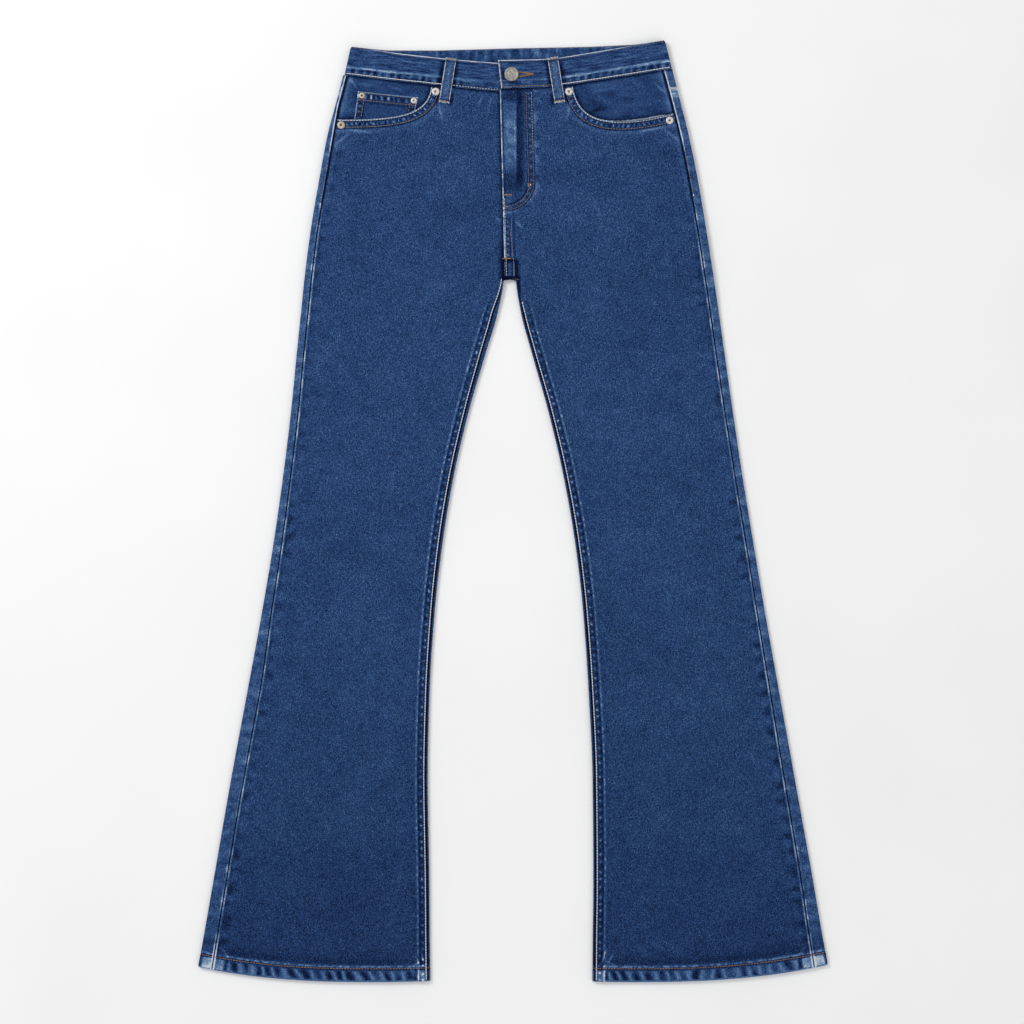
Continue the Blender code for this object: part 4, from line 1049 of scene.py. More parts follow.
def frontPanel(side):
    out, gap, crotchY = outward[side], garment["seamGap"], garment["crotchY"]
    look, seed = frontColumns, frontColumns["seed"][side]
    shares = spread((look["outer"], look["inner"]), look["middleStep"], look["nominal"])
    legY, depth, folded = legRows()
    rows = []
    for y in legY:
        inset = rimWide(side, y) + gap
        rows.append((seamX(side, y) - out * gap, y, legAt[side + "In"](y) + out * inset, y))
    line = openingLine[side][::-1]
    lowY = line[0][1] - gap
    centreAt = smoothCurve((crotchY, 292, 320, 360, 400, 435, lowY), (crotchY, 292, 318, 354, 388, 418, 440))
    for y in np.arange(crotchY, lowY, garment["rowStep"]):
        rows.append((seamX(side, y) - out * gap, y, centreX(centreAt(y)) + out * gap / 2, centreAt(y)))
    edge = line[:-2]
    topX = edge[-1][0]
    edge = np.vstack([edge, (topX, float(waistEdge(side, topX)))])
    topY = float(waistEdge(side, centreX(502.0) + out))
    places = evenly(edge, look["fanRows"])
    for (x, y), part in zip(places, np.linspace(0.0, 1.0, len(places))):
        centreY = blend(440.0, topY, part)
        rows.append((x, min(y, float(waistEdge(side, x))), centreX(centreY) + out * gap / 2, centreY))
    depth += [0.0] * (len(rows) - len(depth))
    rows, depth = np.array(rows), np.array(depth)[:, None]
    x = blend(rows[:, 0:1], rows[:, 2:3], shares)
    y = blend(rows[:, 1:2], rows[:, 3:4], shares)
    y = np.minimum(y, waistEdge(side, x))
    y[-1] = waistEdge(side, x[-1])
    fromSeam = out * (seamX(side, y) - x)
    fromInner = out * (x - np.where(y < crotchY, rows[:, 2:3], centreX(y)))
    sagged = y + hemSag(side, np.maximum(y, hemShape["level"]), shares[None, :] + 0 * x)
    fromHem = sagged - hemEdge(side, shares[None, :] + 0 * x)
    upper = rows[:, 1:2] > crotchY - 0.1
    away, walk = np.full_like(x, 99.0), np.zeros_like(x)
    near = slice(-look["openingRows"], None)
    away[near], walk[near] = fromLine(openingLine[side], x[near], y[near])
    inside = insideFly(x, y) if side == "left" else np.full_like(x, -99.0)
    creaseHigh, pale = relax(x, y, creases[side])
    pale += clouded(sagged, x, y, seed)
    high = 0.35 * patchy(x, y, 70.0, seed + 2) * ramp(4.0, 30.0, fromSeam) * ramp(14.0, 40.0, fromInner)
    high += creaseHigh + outseamRelief(y, fromSeam, seed + 10) + hemRelief(x, fromHem, seed + 30)
    high += inseamRelief(y, fromInner, seed + 20) * ~upper + openingRelief(away, walk, seed + 40)
    if side == "left":
        high += flyRelief(x, y, fromInner, inside) * upper
    else:
        high -= 0.9 * hump(fromInner, 0.0, 3.0) * upper
    below = waistAt[side](x) - y
    high -= 0.6 * hump(below, 0.0, 1.3)
    # the edge at the crotch rolls down between the legs
    aside = np.abs(x - garment["backCentreX"])
    roll = 3.4 * hump(y, crotchY - 0.1, 1.7) * (1.0 - ramp(9.0, 12.0, aside)) * (rows[:, 1:2] > 268.0)
    z = lift(y) + tall(y) + high - depth - roll
    facing = upright(x, 1.0)
    facing[:folded] = 0.0
    marks = {
        "fade": pale,
        "fromOutseam": fromSeam,
        "fromInseam": np.where(upper, 99.0, fromInner),
        "fromHem": fromHem,
        "fromOpening": away,
        "alongOpening": walk,
        "fromWaist": below,
        "fromCentre": np.where(upper, fromInner, 99.0),
        "insideFly": np.where(upper, inside, -99.0),
    }
    place = np.stack([x, sagged, z], axis=-1)
    return clothPiece(side + "Front", place, facing, marks, side + "Front", f"front_{side}")


fronts = {side: frontPanel(side) for side in sides}
print("front panels made")

backColumns = {
    "strip": (0.0, 0.05, 0.12, 0.2, 0.3, 0.42, 0.56, 0.7, 0.85, 1.0),
    "arc": 7,
    "under": 56,
    "curl": 8,
    "innerStrip": 5,
    "seed": {"right": 900, "left": 1300},
}


def backSection(side, y):
    # the section's points and the way each faces, then where its flat underside starts; the points run
    # along the side strip, round the edge, along the underside, round the inner edge and up the inner strip
    out, look, gap = outward[side], backColumns, garment["seamGap"]
    size, edge = float(tall(y)), float(legAt[side + "Out"](y))
    radius, small = size / 2, garment["legHeight"] / 2
    centre = edge - out * radius
    seam = edge - out * (float(legAt[side + "OutSeam"](y)) - gap)
    legPart = 1.0 - float(ramp(275.2, garment["crotchY"], y))
    length = math.pi * small
    stripLength = blend(0.9, max(0.4, float(rimWide(side, y)) - small - gap), legPart)
    legStart = float(legAt[side + "In"](y)) + out * small
    seatStart = garment["backCentreX"] + out * (gap / 2 + length + stripLength)
    start = blend(seatStart, legStart, legPart)
    strip = np.array(look["strip"])
    turn = np.linspace(0.0, math.pi, look["arc"] + 2)[1:]
    under = np.linspace(0.0, 1.0, look["under"] + 1)[1:]
    bend = max(1e-4, math.pi * legPart / length)
    curl = bend * np.linspace(0.0, length, look["curl"] + 1)[1:]
    walk = np.linspace(0.0, stripLength, look["innerStrip"] + 1)[1:]
    away, level = out * np.sin(turn), np.cos(turn)
    inward, dip = out * np.sin(curl), np.cos(curl)
    curlX, curlZ = start - inward / bend, (1.0 - dip) / bend
    parts = (
        (blend(seam, centre, strip), size, 0.0, 1.0),
        (centre + radius * away, radius + radius * level, away, level),
        (blend(centre, start, under), 0.0, 0.0, -1.0),
        (curlX, curlZ, -inward, -dip),
        (curlX[-1] - out * dip[-1] * walk, curlZ[-1] + out * inward[-1] * walk, -inward[-1], -dip[-1]),
    )
    rows = [np.stack([value + 0 * part[0] for value in part]) for part in parts]
    return np.concatenate(rows, axis=1), centre


yokeSeam = {"right": 500.0, "left": 505.0, "centre": 464.0, "gap": 0.15}


def backGrid(side, sideY, centreY, isYoke=False):
    sections, flatFrom = zip(*(backSection(side, y) for y in sideY))
    x, z, wayX, wayZ = np.array(sections).transpose(1, 0, 2)
    flatFrom = np.array(flatFrom)[:, None]
    sideY, centreY = np.array(sideY)[:, None], np.array(centreY)[:, None]
    part = np.clip(portion(flatFrom, garment["backCentreX"], x), 0.0, 1.0)
    part[:, : len(backColumns["strip"]) + backColumns["arc"] // 2] = 0.0
    y = blend(sideY, centreY, part) + 0 * x
    if isYoke:
        share = portion(sideY[0], sideY[-1], sideY)
        top = np.where(z > garment["hipHeight"] / 2, waistAt[side](x), waistAt["back"](x)) - 0.4
        y = blend(y[0:1] + 0 * x, top, share)
    steps = np.hypot(np.diff(x, axis=1), np.diff(z, axis=1))
    walk = np.concatenate([0 * x[:, :1], np.cumsum(steps, axis=1)], axis=1)
    return x, y, z, wayX, wayZ, walk


def backPanel(side):
    seed, crotchY, middleX = backColumns["seed"][side], garment["crotchY"], garment["backCentreX"]
    legY, depth, folded = legRows()
    endY, endCentre = yokeSeam[side] - yokeSeam["gap"], yokeSeam["centre"] - yokeSeam["gap"]
    seatY = list(np.linspace(crotchY, endY, int((endY - crotchY) / garment["rowStep"])))
    seatCentre = [blend(crotchY, endCentre, portion(crotchY, endY, y)) for y in seatY]
    x, y, z, wayX, wayZ, walk = backGrid(side, legY + seatY, legY + seatCentre)
    depth = np.array(depth + [0.0] * len(seatY))[:, None]
    rowY = np.array(legY + seatY)[:, None]
    along = portion(seamX(side, rowY), inseamX(side, rowY), x)
    sagged = y + hemSag(side, np.maximum(y, hemShape["level"]), along) * (rowY < crotchY)
    fromHem = sagged - hemEdge(side, along)
    toEnd = walk[:, -1:] - walk
    upper = rowY > crotchY - 0.1
    isUnder = wayZ < -0.5
    mirrored = np.abs(x - middleX)
    creaseHigh, creasePale = relax(mirrored + (0.0 if side == "right" else 7.0), y, creases["seat"])
    wornAndShaded = 0.05 * hump(mirrored, 110.0, 50.0) * between(300.0, 440.0, 30.0, y)
    pale = clouded(sagged, x, y, seed) + np.where(isUnder, creasePale + wornAndShaded, 0.0)
    high = np.where(isUnder, -0.6 * np.abs(creaseHigh), 0.0)
    bars = ropes(y, 21.0, seed + 2, 1.2) - 0.45
    high += np.where(isUnder, 0.0, 0.16 * bars * hump(walk, 6.0, 5.0) - 0.8 * hump(walk, 0.0, 0.7))
    high -= np.where(upper | isUnder, 0.0, 0.9 * hump(toEnd, 0.0, 0.7))
    hemHigh = hemRelief(x, fromHem, seed + 6)
    high += np.where(isUnder, -0.4 * np.abs(hemHigh), 0.6 * hemHigh)
    turned = x[:, [len(backColumns["strip"]) + backColumns["arc"] + 1]]
    reach = np.clip(portion(turned, middleX, x), 0.0, 1.0)
    yokeLine = blend(endY, yokeSeam["centre"], np.where(isUnder, reach, 0.0))
    rise = high - depth
    place = np.stack([x + wayX * rise, sagged, lift(rowY) + z + wayZ * rise], axis=-1)
    place[..., 2] = np.maximum(place[..., 2], 0.02)
    facing = np.stack([wayX, 0 * x, wayZ], axis=-1)
    facing[:folded] = 0.0
    marks = {
        "fade": pale,
        "fromOutseam": walk,
        "fromInseam": np.where(upper, 99.0, toEnd),
        "fromHem": fromHem,
        "fromSeat": np.where(upper & isUnder, mirrored, 99.0),
        "fromYoke": yokeLine - y,
    }
    return clothPiece(side + "Back", place, facing, marks, "back", f"back_{side}")


yokeLook = {"rows": 16, "seed": {"right": 1700, "left": 2100}}


def yokePiece(side):
    top = float(waistAt[side](legAt[side + "Out"](520.0))) - 1.5
    sideY = np.linspace(yokeSeam[side] + yokeSeam["gap"], top, yokeLook["rows"])
    centreY = [yokeSeam["centre"] + yokeSeam["gap"]] * len(sideY)
    x, y, z, wayX, wayZ, walk = backGrid(side, sideY, centreY, isYoke=True)
    seed = yokeLook["seed"][side]
    fromYoke = y - y[0:1]
    isUnder = wayZ < -0.5
    waist = np.where(isUnder, waistAt["back"](x), waistAt[side](x))
    high = np.where(wayZ > 0.5, 0.35 * (1.0 - ramp(9.0, 10.2, fromYoke)) - 0.8 * hump(walk, 0.0, 0.7), 0.0)
    place = np.stack([x + wayX * high, y, garment["hipLift"] + z + wayZ * high], axis=-1)
    facing = np.stack([wayX, 0 * x, wayZ], axis=-1)
    marks = {
        "fade": fadeByLevel(y) + 0.02 * patchy(x, y, 22.0, seed + 1),
        "fromOutseam": walk,
        "fromYoke": fromYoke,
        "fromWaist": waist - y,
        "fromSeat": np.where(isUnder, np.abs(x - garment["backCentreX"]), 99.0),
    }
    return clothPiece(side + "Yoke", place, facing, marks, "yoke", f"yoke_{side}")


backs = {side: backPanel(side) for side in sides}
yokes = {side: yokePiece(side) for side in sides}
print("back panels and yokes made")

facingLook = {
    "underlap": 10.0, "drop": 1.4, "rows": 90, "columns": 34, "gap": 0.2, "waistGap": 0.3,
    "seed": {"right": 2500, "left": 2900}, "paler": {"right": -0.016, "left": 0.010},
    "ripple": {"right": 0.05, "left": -0.14},
}


def pocketFacing(side):
    # rows run along the waist and down the outseam, columns from there in to beyond the opening
    out, look = outward[side], facingLook
    line = openingLine[side]
    gap = garment["seamGap"] + look["gap"]
    cornerX = seamX(side, 520.0) - out * gap
    cornerY = float(waistAt[side](cornerX)) - look["waistGap"]
    startX = line[0][0] + out * 2.2
    endY = line[-1][1] + 2.4
    topX = np.linspace(startX, cornerX, 60)
    topLine = np.stack([topX, waistAt[side](topX) - look["waistGap"]], axis=-1)
    downY = np.linspace(cornerY, endY, 40)[1:]
    downLine = np.stack([seamX(side, downY) - out * gap, downY], axis=-1)
    rim = evenly(np.vstack([topLine, downLine]), look["rows"])
    under = offsetLine(evenly(line, look["rows"]), -out * look["underlap"])
    limit = seamX(side, under[:, 1]) - out * gap
    under[:, 0] = np.where((under[:, 0] - limit) * out > 0.0, limit, under[:, 0])
    under[:, 1] = np.minimum(under[:, 1], waistAt[side](under[:, 0]) - look["waistGap"])
    shares = np.linspace(0.0, 1.0, look["columns"]) ** 1.15
    x = blend(rim[:, 0:1], under[:, 0:1], shares)
    y = blend(rim[:, 1:2], under[:, 1:2], shares)
    away, _ = fromLine(line, x, y)
    beyond = np.hypot(x - rim[:, 0:1], y - rim[:, 1:2])
    reach = np.hypot(under[:, 0:1] - rim[:, 0:1], under[:, 1:2] - rim[:, 1:2])
    shoulder = np.minimum(8.0, np.maximum(1.0, reach - look["underlap"]) * 0.55)
    drop = look["drop"] * ramp(0.0, 1.0, beyond / np.maximum(shoulder, 0.5))
    seed = look["seed"][side]
    fromSeam = out * (seamX(side, y) - x)
    below = waistAt[side](x) - y
    ripple = hump(away, 14.0, 6.0) * hump(x, line[0][0] + out * 32.0, 15.0)
    high = 0.30 * patchy(x, y, 26.0, seed) * ramp(2.0, 12.0, beyond)
    high = high - 0.5 * hump(fromSeam, 0.0, 0.8) + 0.35 * ripple
    pale = fadeByLevel(y) + look["paler"][side]
    pale = pale + 0.02 * patchy(x, y, 18.0, seed + 1) + look["ripple"][side] * ripple
    z = garment["panelTop"] - drop + high * ramp(0.0, 4.0, beyond)
    place, facing = np.stack([x, y, z], axis=-1), upright(x, 1.0)
    marks = {"fade": pale, "fromOutseam": fromSeam, "fromOpening": away, "fromWaist": below}
    return clothPiece(side + "PocketFacing", place, facing, marks, "facing", f"pocket_facing_{side}")


facings = {side: pocketFacing(side) for side in sides}

coinLook = {
    "topOut": (-186.2, 502.0), "topIn": (-114.4, 494.8),
    "lowOut": (-190.6, 471.6), "lowIn": (-117.8, 480.6),
    "hem": 10.4, "sideRow": 8.4, "top": 6.55, "wall": 0.9, "seed": 3301,
}


def coinPocket():
    look = coinLook
    line = openingLine["right"]
    share, down = np.linspace(0.0, 1.0, 46)[None, :], np.linspace(0.0, 1.0, 22)[:, None]
    topX = blend(look["topOut"][0], look["topIn"][0], share)
    topY = blend(look["topOut"][1], look["topIn"][1], share)
    lowX = blend(look["lowOut"][0], look["lowIn"][0], share)
    order = np.argsort(line[:, 0])
    lowY = np.interp(lowX, line[order, 0], line[order, 1]) + 0.3
    x = blend(topX, lowX, down)
    y = blend(topY, lowY, down)
    fromTop, fromSide = topY - y, np.minimum(x - x[:, :1], x[:, -1:] - x)
    bars = ropes(x, 7.0, look["seed"], 1.4) - 0.42
    high = 0.35 * between(0.0, look["hem"], 0.8, fromTop) + 0.15 * bars * hump(fromTop, 5.5, 3.0)
    high += 0.30 * (1.0 - ramp(look["sideRow"], look["sideRow"] + 1.4, fromSide))
    place, facing = np.stack([x, y, look["top"] + high], axis=-1), upright(x, 1.0)
    marks = {"fade": fadeByLevel(y) - 0.02, "fromTop": fromTop, "fromSide": fromSide}
    return clothPiece("coinPocket", place, facing, marks, "coin", "coin_pocket", look["wall"])


coin = coinPocket()

patchLook = {
    "topOut": 187.0, "topIn": 48.0, "lowOut": 176.0, "lowIn": 58.0,
    "topOutY": 458.0, "topInY": 440.0, "lowY": 330.0, "tipY": 304.0, "wall": 1.1, "hem": 16.0,
    "heartY": 385.0, "seed": {"right": 3402, "left": 3502},
}


def backPocket(side):
    look, out, centre = patchLook, outward[side], garment["backCentreX"]
    share, down = np.linspace(0.0, 1.0, 61)[None, :], np.linspace(0.0, 1.0, 61)[:, None]
    wideOut = blend(look["topOut"], look["lowOut"], down)
    wideIn = blend(look["topIn"], look["lowIn"], down)
    x = centre + out * blend(wideOut, wideIn, share)
    topY = blend(look["topOutY"], look["topInY"], share)
    lowY = blend(look["lowY"], look["tipY"], 1.0 - np.abs(2.0 * share - 1.0))
    y = blend(topY, lowY, down)
    fromTop = topY - y
    fromSide = np.minimum(np.abs(x - x[:, :1]), np.abs(x - x[:, -1:]))
    fromEdge = np.minimum(fromSide, y - lowY)
    high = 0.25 * between(0.0, look["hem"], 0.8, fromTop) + 0.20 * (1.0 - ramp(8.0, 9.2, fromEdge))
    place = np.stack([x + 0 * y, y, np.maximum(0.42 - 0.93 * high, 0.0) + 0 * x], axis=-1)
    facing = upright(y, -1.0)
    pale = fadeByLevel(y) + 0.02 + 0.02 * patchy(x, y, 24.0, look["seed"][side])
    marks = {"fade": pale, "fromTop": fromTop, "fromSide": fromEdge}
    return clothPiece(side + "BackPocket", place, facing, marks, "patch", f"back_pocket_{side}", look["wall"])


patches = {side: backPocket(side) for side in sides}
print("pockets made")


def strapPiece(name, low, high, facing, wall, finish, node, relief, sectionCount=(26, 5, 14, 5)):
    # a flat tube of cloth: low and high are its two edges and facing its outer side, station by station
    across = high - low
    width = np.linalg.norm(across, axis=1, keepdims=True)
    across, half = across / width, wall / 2
    outer, topTurn, inner, lowTurn = sectionCount
    over = np.linspace(0.0, math.pi, topTurn + 2)[1:-1]
    back = np.linspace(math.pi, 2 * math.pi, lowTurn + 2)[1:-1]
    # round the section: the share of the flat part, the reach past it and the height, both in half walls
    share = np.concatenate(
        [np.linspace(0.0, 1.0, outer), 1 + 0 * over, np.linspace(1.0, 0.0, inner), 0 * back, [0.0]]
    )
    reach = np.concatenate([np.zeros(outer), np.sin(over), np.zeros(inner), np.sin(back), [0.0]])
    outside = np.concatenate([np.ones(outer), np.cos(over), -np.ones(inner), np.cos(back), [1.0]])
    stations, count = len(low), len(share) - 1
    fromLow = half + (width - 2 * half) * share + half * reach
    outside = outside + 0 * fromLow
    way = facing[:, None] * outside[..., None] + across[:, None] * (reach + 0 * fromLow)[..., None]
    place = low[:, None] + across[:, None] * fromLow[..., None]
    place = place + facing[:, None] * (half * outside)[..., None]
    walk = walked((low + high) / 2)[:, None] + 0 * fromLow
    wide = width + 0 * fromLow
    place = place + way * relief(walk, fromLow, wide, outside)[..., None]
    marks = {
        "fade": fadeByLevel(place[..., 1]),
        "fromLow": fromLow,
        "fromHigh": wide - fromLow,
        "fromEdge": np.minimum(fromLow, wide - fromLow),
        "fromEnd": np.minimum(walk, walk.max() - walk) if name != "waistBand" else walk.max() - walk,
        "alongBand": walk,
        "outside": outside,
    }
    cloth = bmesh.new()
    bmesh.ops.create_grid(cloth, x_segments=count, y_segments=stations - 1, size=1.0)
    cloth.verts.ensure_lookup_table()
    for vert, point in zip(cloth.verts, place.reshape(-1, 3)):
        vert.co = point * mm
    for mark, values in marks.items():
        layer = cloth.verts.layers.float.new(mark)
        for vert, value in zip(cloth.verts, values.ravel()):
            vert[layer] = value
    bmesh.ops.remove_doubles(cloth, verts=cloth.verts, dist=1e-6)
    rims = [edge for edge in cloth.edges if edge.is_boundary]
    bmesh.ops.holes_fill(cloth, edges=rims, sides=0)
    bmesh.ops.recalc_face_normals(cloth, faces=cloth.faces)
    trees[name] = BVHTree.FromBMesh(cloth)
    mesh = meshFrom(name, cloth)
    mesh.shade_smooth()
    mesh.set_sharp_from_angle(angle=math.radians(50))
    piece = linkMesh(name, mesh, finish)
    return finishPiece(piece, "denim", node)


# The waistband's stations round the body: which face they lie on, then the strip's two edges
bandStations = (
    ("under", 18.0, 507.2, 18.0, 536.9),
    ("under", -16.6, 506.4, -16.8, 536.2),
    ("under", -17.6, 501.9, -18.6, 536.2),
    ("front", -34.0, 503.2, -35.0, 537.2),
    ("front", -81.0, 508.4, -78.0, 540.8),
    ("front", -140.0, 514.6, -137.0, 547.4),
    ("front", -199.6, 521.6, -192.6, 555.6),
    ("back", -199.6, 521.6, -192.6, 555.6),
    ("back", -156.0, 517.6, -152.0, 551.6),
    ("back", -92.0, 517.4, -90.0, 551.6),
    ("back", 4.0, 520.0, 4.0, 554.2),
    ("back", 92.0, 521.6, 92.0, 556.0),
    ("back", 146.0, 524.6, 144.0, 558.4),
    ("back", 187.2, 529.0, 179.0, 563.2),
    ("front", 187.2, 529.0, 179.0, 563.2),
    ("front", 128.0, 519.4, 124.0, 553.6),
    ("front", 62.0, 509.4, 54.0, 542.0),
    ("front", 37.0, 507.2, 34.0, 540.6),
    ("over", 22.0, 506.4, 21.0, 540.0),
    ("over", -14.6, 505.4, -18.4, 539.2),
)
bandLook = {
    "wall": 2.2, "step": 2.3, "height": 34.0, "sideRadius": 1.8, "seed": 4101,
    "level": {"front": 6.3, "back": 2.7, "under": 5.2, "over": 7.7},
}


def bandPath():
    level, radius = bandLook["level"], bandLook["sideRadius"]
    low, high, facing = [], [], []
    for before, after in zip(bandStations, bandStations[1:]):
        face, nextFace = before[0], after[0]
        start, end = np.array(before[1:], float), np.array(after[1:], float)
        if {face, nextFace} == {"front", "back"}:
            out = 1.0 if start[0] > 0 else -1.0
            middle = (level[face] + level[nextFace]) / 2
            way = 1.0 if level[face] > level[nextFace] else -1.0
            for turn in np.linspace(0.0, math.pi, 10)[:-1]:
                reach, z = out * radius * math.sin(turn), middle + way * radius * math.cos(turn)
                low.append((start[0] + reach, start[1], z))
                high.append((start[2] + reach, start[3] - 1.8 * math.sin(turn) ** 3, z))
                facing.append((out * math.sin(turn), 0.0, way * math.cos(turn)))
            continue
        count = max(2, int(round(np.hypot(*(end - start)[:2]) / bandLook["step"])))
        for part in np.linspace(0.0, 1.0, count + 1)[:-1]:
            point = blend(start, end, part)
            z = blend(level[face], level[nextFace], float(ramp(0.0, 1.0, part)))
            low.append((point[0], point[1], z))
            high.append((point[2], point[3], z))
            facing.append((0.0, 0.0, -1.0 if face == "back" else 1.0))
    last = bandStations[-1]
    low.append((last[1], last[2], level["over"]))
    high.append((last[3], last[4], level["over"]))
    facing.append((0.0, 0.0, 1.0))
    low, high, facing = (np.array(rows) for rows in (low, high, facing))
    for rows in (low, high):  # ease the corners between stations
        for _ in range(6):
            flat = np.abs(facing[1:-1, 2]) > 0.999
            eased = (rows[:-2, 1] + 2 * rows[1:-1, 1] + rows[2:, 1]) / 4
            rows[1:-1, 1] = np.where(flat, eased, rows[1:-1, 1])
    return low, high, facing


def bandRelief(walk, fromLow, width, outside):
    bars = ropes(walk + 0.3 * fromLow, 10.2, bandLook["seed"], 1.3) - 0.42
    high = 0.22 * bars * hump(fromLow, 5.5, 3.2) + 0.26 * hump(fromLow, 9.8, 1.6)
    high = high - 0.25 * hump(fromLow, 1.9, 0.8)
    along = 0.14 * uneven(walk, 30.0, bandLook["seed"] + 1)
    return np.where(outside > 0.2, high, 0.0) + along * hump(width - fromLow, 8.0, 6.0)


def loopRelief(walk, fromLow, width, outside):
    fromEdge = np.minimum(fromLow, width - fromLow)
    fromEnd = np.minimum(walk, walk.max() - walk)
    high = 0.16 * hump(fromEdge, 2.2, 1.0) - 0.16 * hump(fromLow, width / 2, 1.4)
    high = high - 0.35 * hump(fromEnd, 2.6, 1.1)
    return np.where(outside > 0.2, high, 0.0)


bandLow, bandHigh, bandFacing = bandPath()
band = strapPiece(
    "waistBand", bandLow, bandHigh, bandFacing, bandLook["wall"], "band", "waistband", bandRelief
)

# Belt loops by the centre of each end, from the waist down
beltLoops = {
    "front_right": ((-74.6, 541.6), (-83.2, 488.0)),
    "front_left": ((46.8, 542.6), (55.6, 488.4)),
    "back_right": ((-92.0, 549.4), (-97.0, 500.0)),
    "back_centre": ((4.0, 552.0), (4.0, 502.0)),
    "back_left": ((93.0, 553.8), (98.0, 504.0)),
}
loopLook = {"wide": 12.5, "wall": 1.3, "panelZ": 7.75, "bandZ": 8.45, "backZ": 0.75}


def loopTitle(name):
    first, second = name.split("_")
    return first + second.capitalize() + "Loop"


def beltLoop(name, ends):
    look = loopLook
    top, bottom = (np.array(end, float) for end in ends)
    way = (top - bottom) / np.linalg.norm(top - bottom)
    aside = np.array([way[1], -way[0]])
    share = np.linspace(0.0, 1.0, 40)[:, None]
    centre = bottom + (top - bottom) * share
    if name.startswith("back"):
        z = np.full(len(centre), look["backZ"])
        facing = np.tile((0.0, 0.0, -1.0), (len(centre), 1))
    else:
        side = name.split("_")[1]
        seam = waistAt[side](centre[:, 0])
        z = blend(look["panelZ"], look["bandZ"], ramp(-6.0, 1.0, centre[:, 1] - seam))
        slope = np.gradient(z) / np.gradient(centre[:, 1])
        facing = np.stack([0 * z, -slope, 1 + 0 * z], axis=-1)
        facing /= np.linalg.norm(facing, axis=1, keepdims=True)
    edges = [np.column_stack([centre + aside * reach, z]) for reach in (-look["wide"] / 2, look["wide"] / 2)]
    finish, node = "loop", f"loop_{name}"
    return strapPiece(loopTitle(name), *edges, facing, look["wall"], finish, node, loopRelief, (16, 3, 8, 3))


loops = {name: beltLoop(name, ends) for name, ends in beltLoops.items()}
print("waistband and belt loops made")

# The zip under the fly's edge, and the facing behind the fly, whose foot bends in below facingBend
zipLook = {
    "wide": 20.0, "topY": 498.0, "lowY": 366.0, "z": 3.5, "tape": 0.5, "toothPitch": 2.4,
    "toothSize": (4.6, 1.3, 0.7), "facingTop": 501.0, "facingLow": 357.4, "facingBend": 398.0,
    "facingWide": 41.0, "footWide": 4.0, "facingZ": 5.3,
}


def flyFacing():
    look = zipLook
    y = np.linspace(look["facingTop"], look["facingLow"], 60)[:, None]
    bend = np.clip((look["facingBend"] - y) / look["facingWide"], 0.0, 1.0)
    wide = look["facingWide"] * np.sqrt(np.maximum(0.0, 1.0 - bend * bend)) + look["footWide"] * bend
    share = np.linspace(0.0, 1.0, 18)[None, :]
    x = centreX(y) + 1.0 + wide * share
    y = np.minimum(y + 0 * x, waistAt["left"](x) - 4.4)
    place, facing = np.stack([x, y, look["facingZ"] + 0 * x], axis=-1), upright(x, 1.0)
    return clothPiece("flyFacing", place, facing, {"fade": 0.02 + 0 * x}, "plain", "fly_facing")


def flyZip():
    look = zipLook
    y = np.linspace(look["topY"], look["lowY"], 40)[:, None]
    share = np.linspace(0.0, 1.0, 9)[None, :]
    x = centreX(y) + 1.0 + look["wide"] * share
    place, facing = np.stack([x, y + 0 * x, look["z"] + 0 * x], axis=-1), upright(x, 1.0)
    tape = clothPiece("zipTape", place, facing, {"fade": 0 * x}, "tape", "fly_zip", look["tape"])
    tape.data.materials[1] = materials["tape"]
    tooth = bmesh.new()
    bmesh.ops.create_cube(tooth, size=1.0)
    bmesh.ops.scale(tooth, vec=Vector(look["toothSize"]) * mm, verts=tooth.verts)
    bmesh.ops.bevel(
        tooth, geom=tooth.edges[:], offset=0.25 * mm, affect="EDGES", segments=1, profile=0.5, material=-1
    )
    places = []
    for number, level in enumerate(np.arange(look["lowY"] + 8.0, look["topY"] - 6.0, look["toothPitch"])):
        middle = float(centreX(level)) + 1.0 + look["wide"] / 2 + (0.5 if number % 2 else -0.5)
        places.append(Matrix.Translation(Vector((middle, level, look["z"] + 0.36)) * mm))
    mesh = copiesOf(meshFrom("tooth", tooth), places, "zipTeeth")
    finishPiece(linkMesh("zipTeeth", mesh, "brass"), "metal")
    return tape


flyPiece, zipTape = flyFacing(), flyZip()


def turnedPiece(name, place, profile, baseZ, node, steps=48, finish="nickel"):
    made = bmesh.new()
    points = [made.verts.new((radius * mm, 0.0, height * mm)) for radius, height in profile]
    lines = [made.edges.new(pair) for pair in zip(points, points[1:])]
    bmesh.ops.spin(
        made, geom=points + lines, cent=(0, 0, 0), axis=(0, 0, 1), angle=2 * math.pi, steps=steps,
        use_merge=True,
    )
    bmesh.ops.remove_doubles(made, verts=made.verts, dist=1e-6)
    bmesh.ops.translate(made, vec=Vector((place[0], place[1], baseZ)) * mm, verts=made.verts)
    bmesh.ops.recalc_face_normals(made, faces=made.faces)
    mesh = meshFrom(name, made)
    kept = mesh.attributes.new("fromMiddle", "FLOAT", "POINT")
    middle = (place[0] * mm, place[1] * mm)
    kept.data.foreach_set("value", [math.dist(vert.co[:2], middle) / mm for vert in mesh.vertices])
    mesh.shade_smooth()
    mesh.set_sharp_from_angle(angle=math.radians(45))
    return finishPiece(linkMesh(name, mesh, finish), "metal", node)


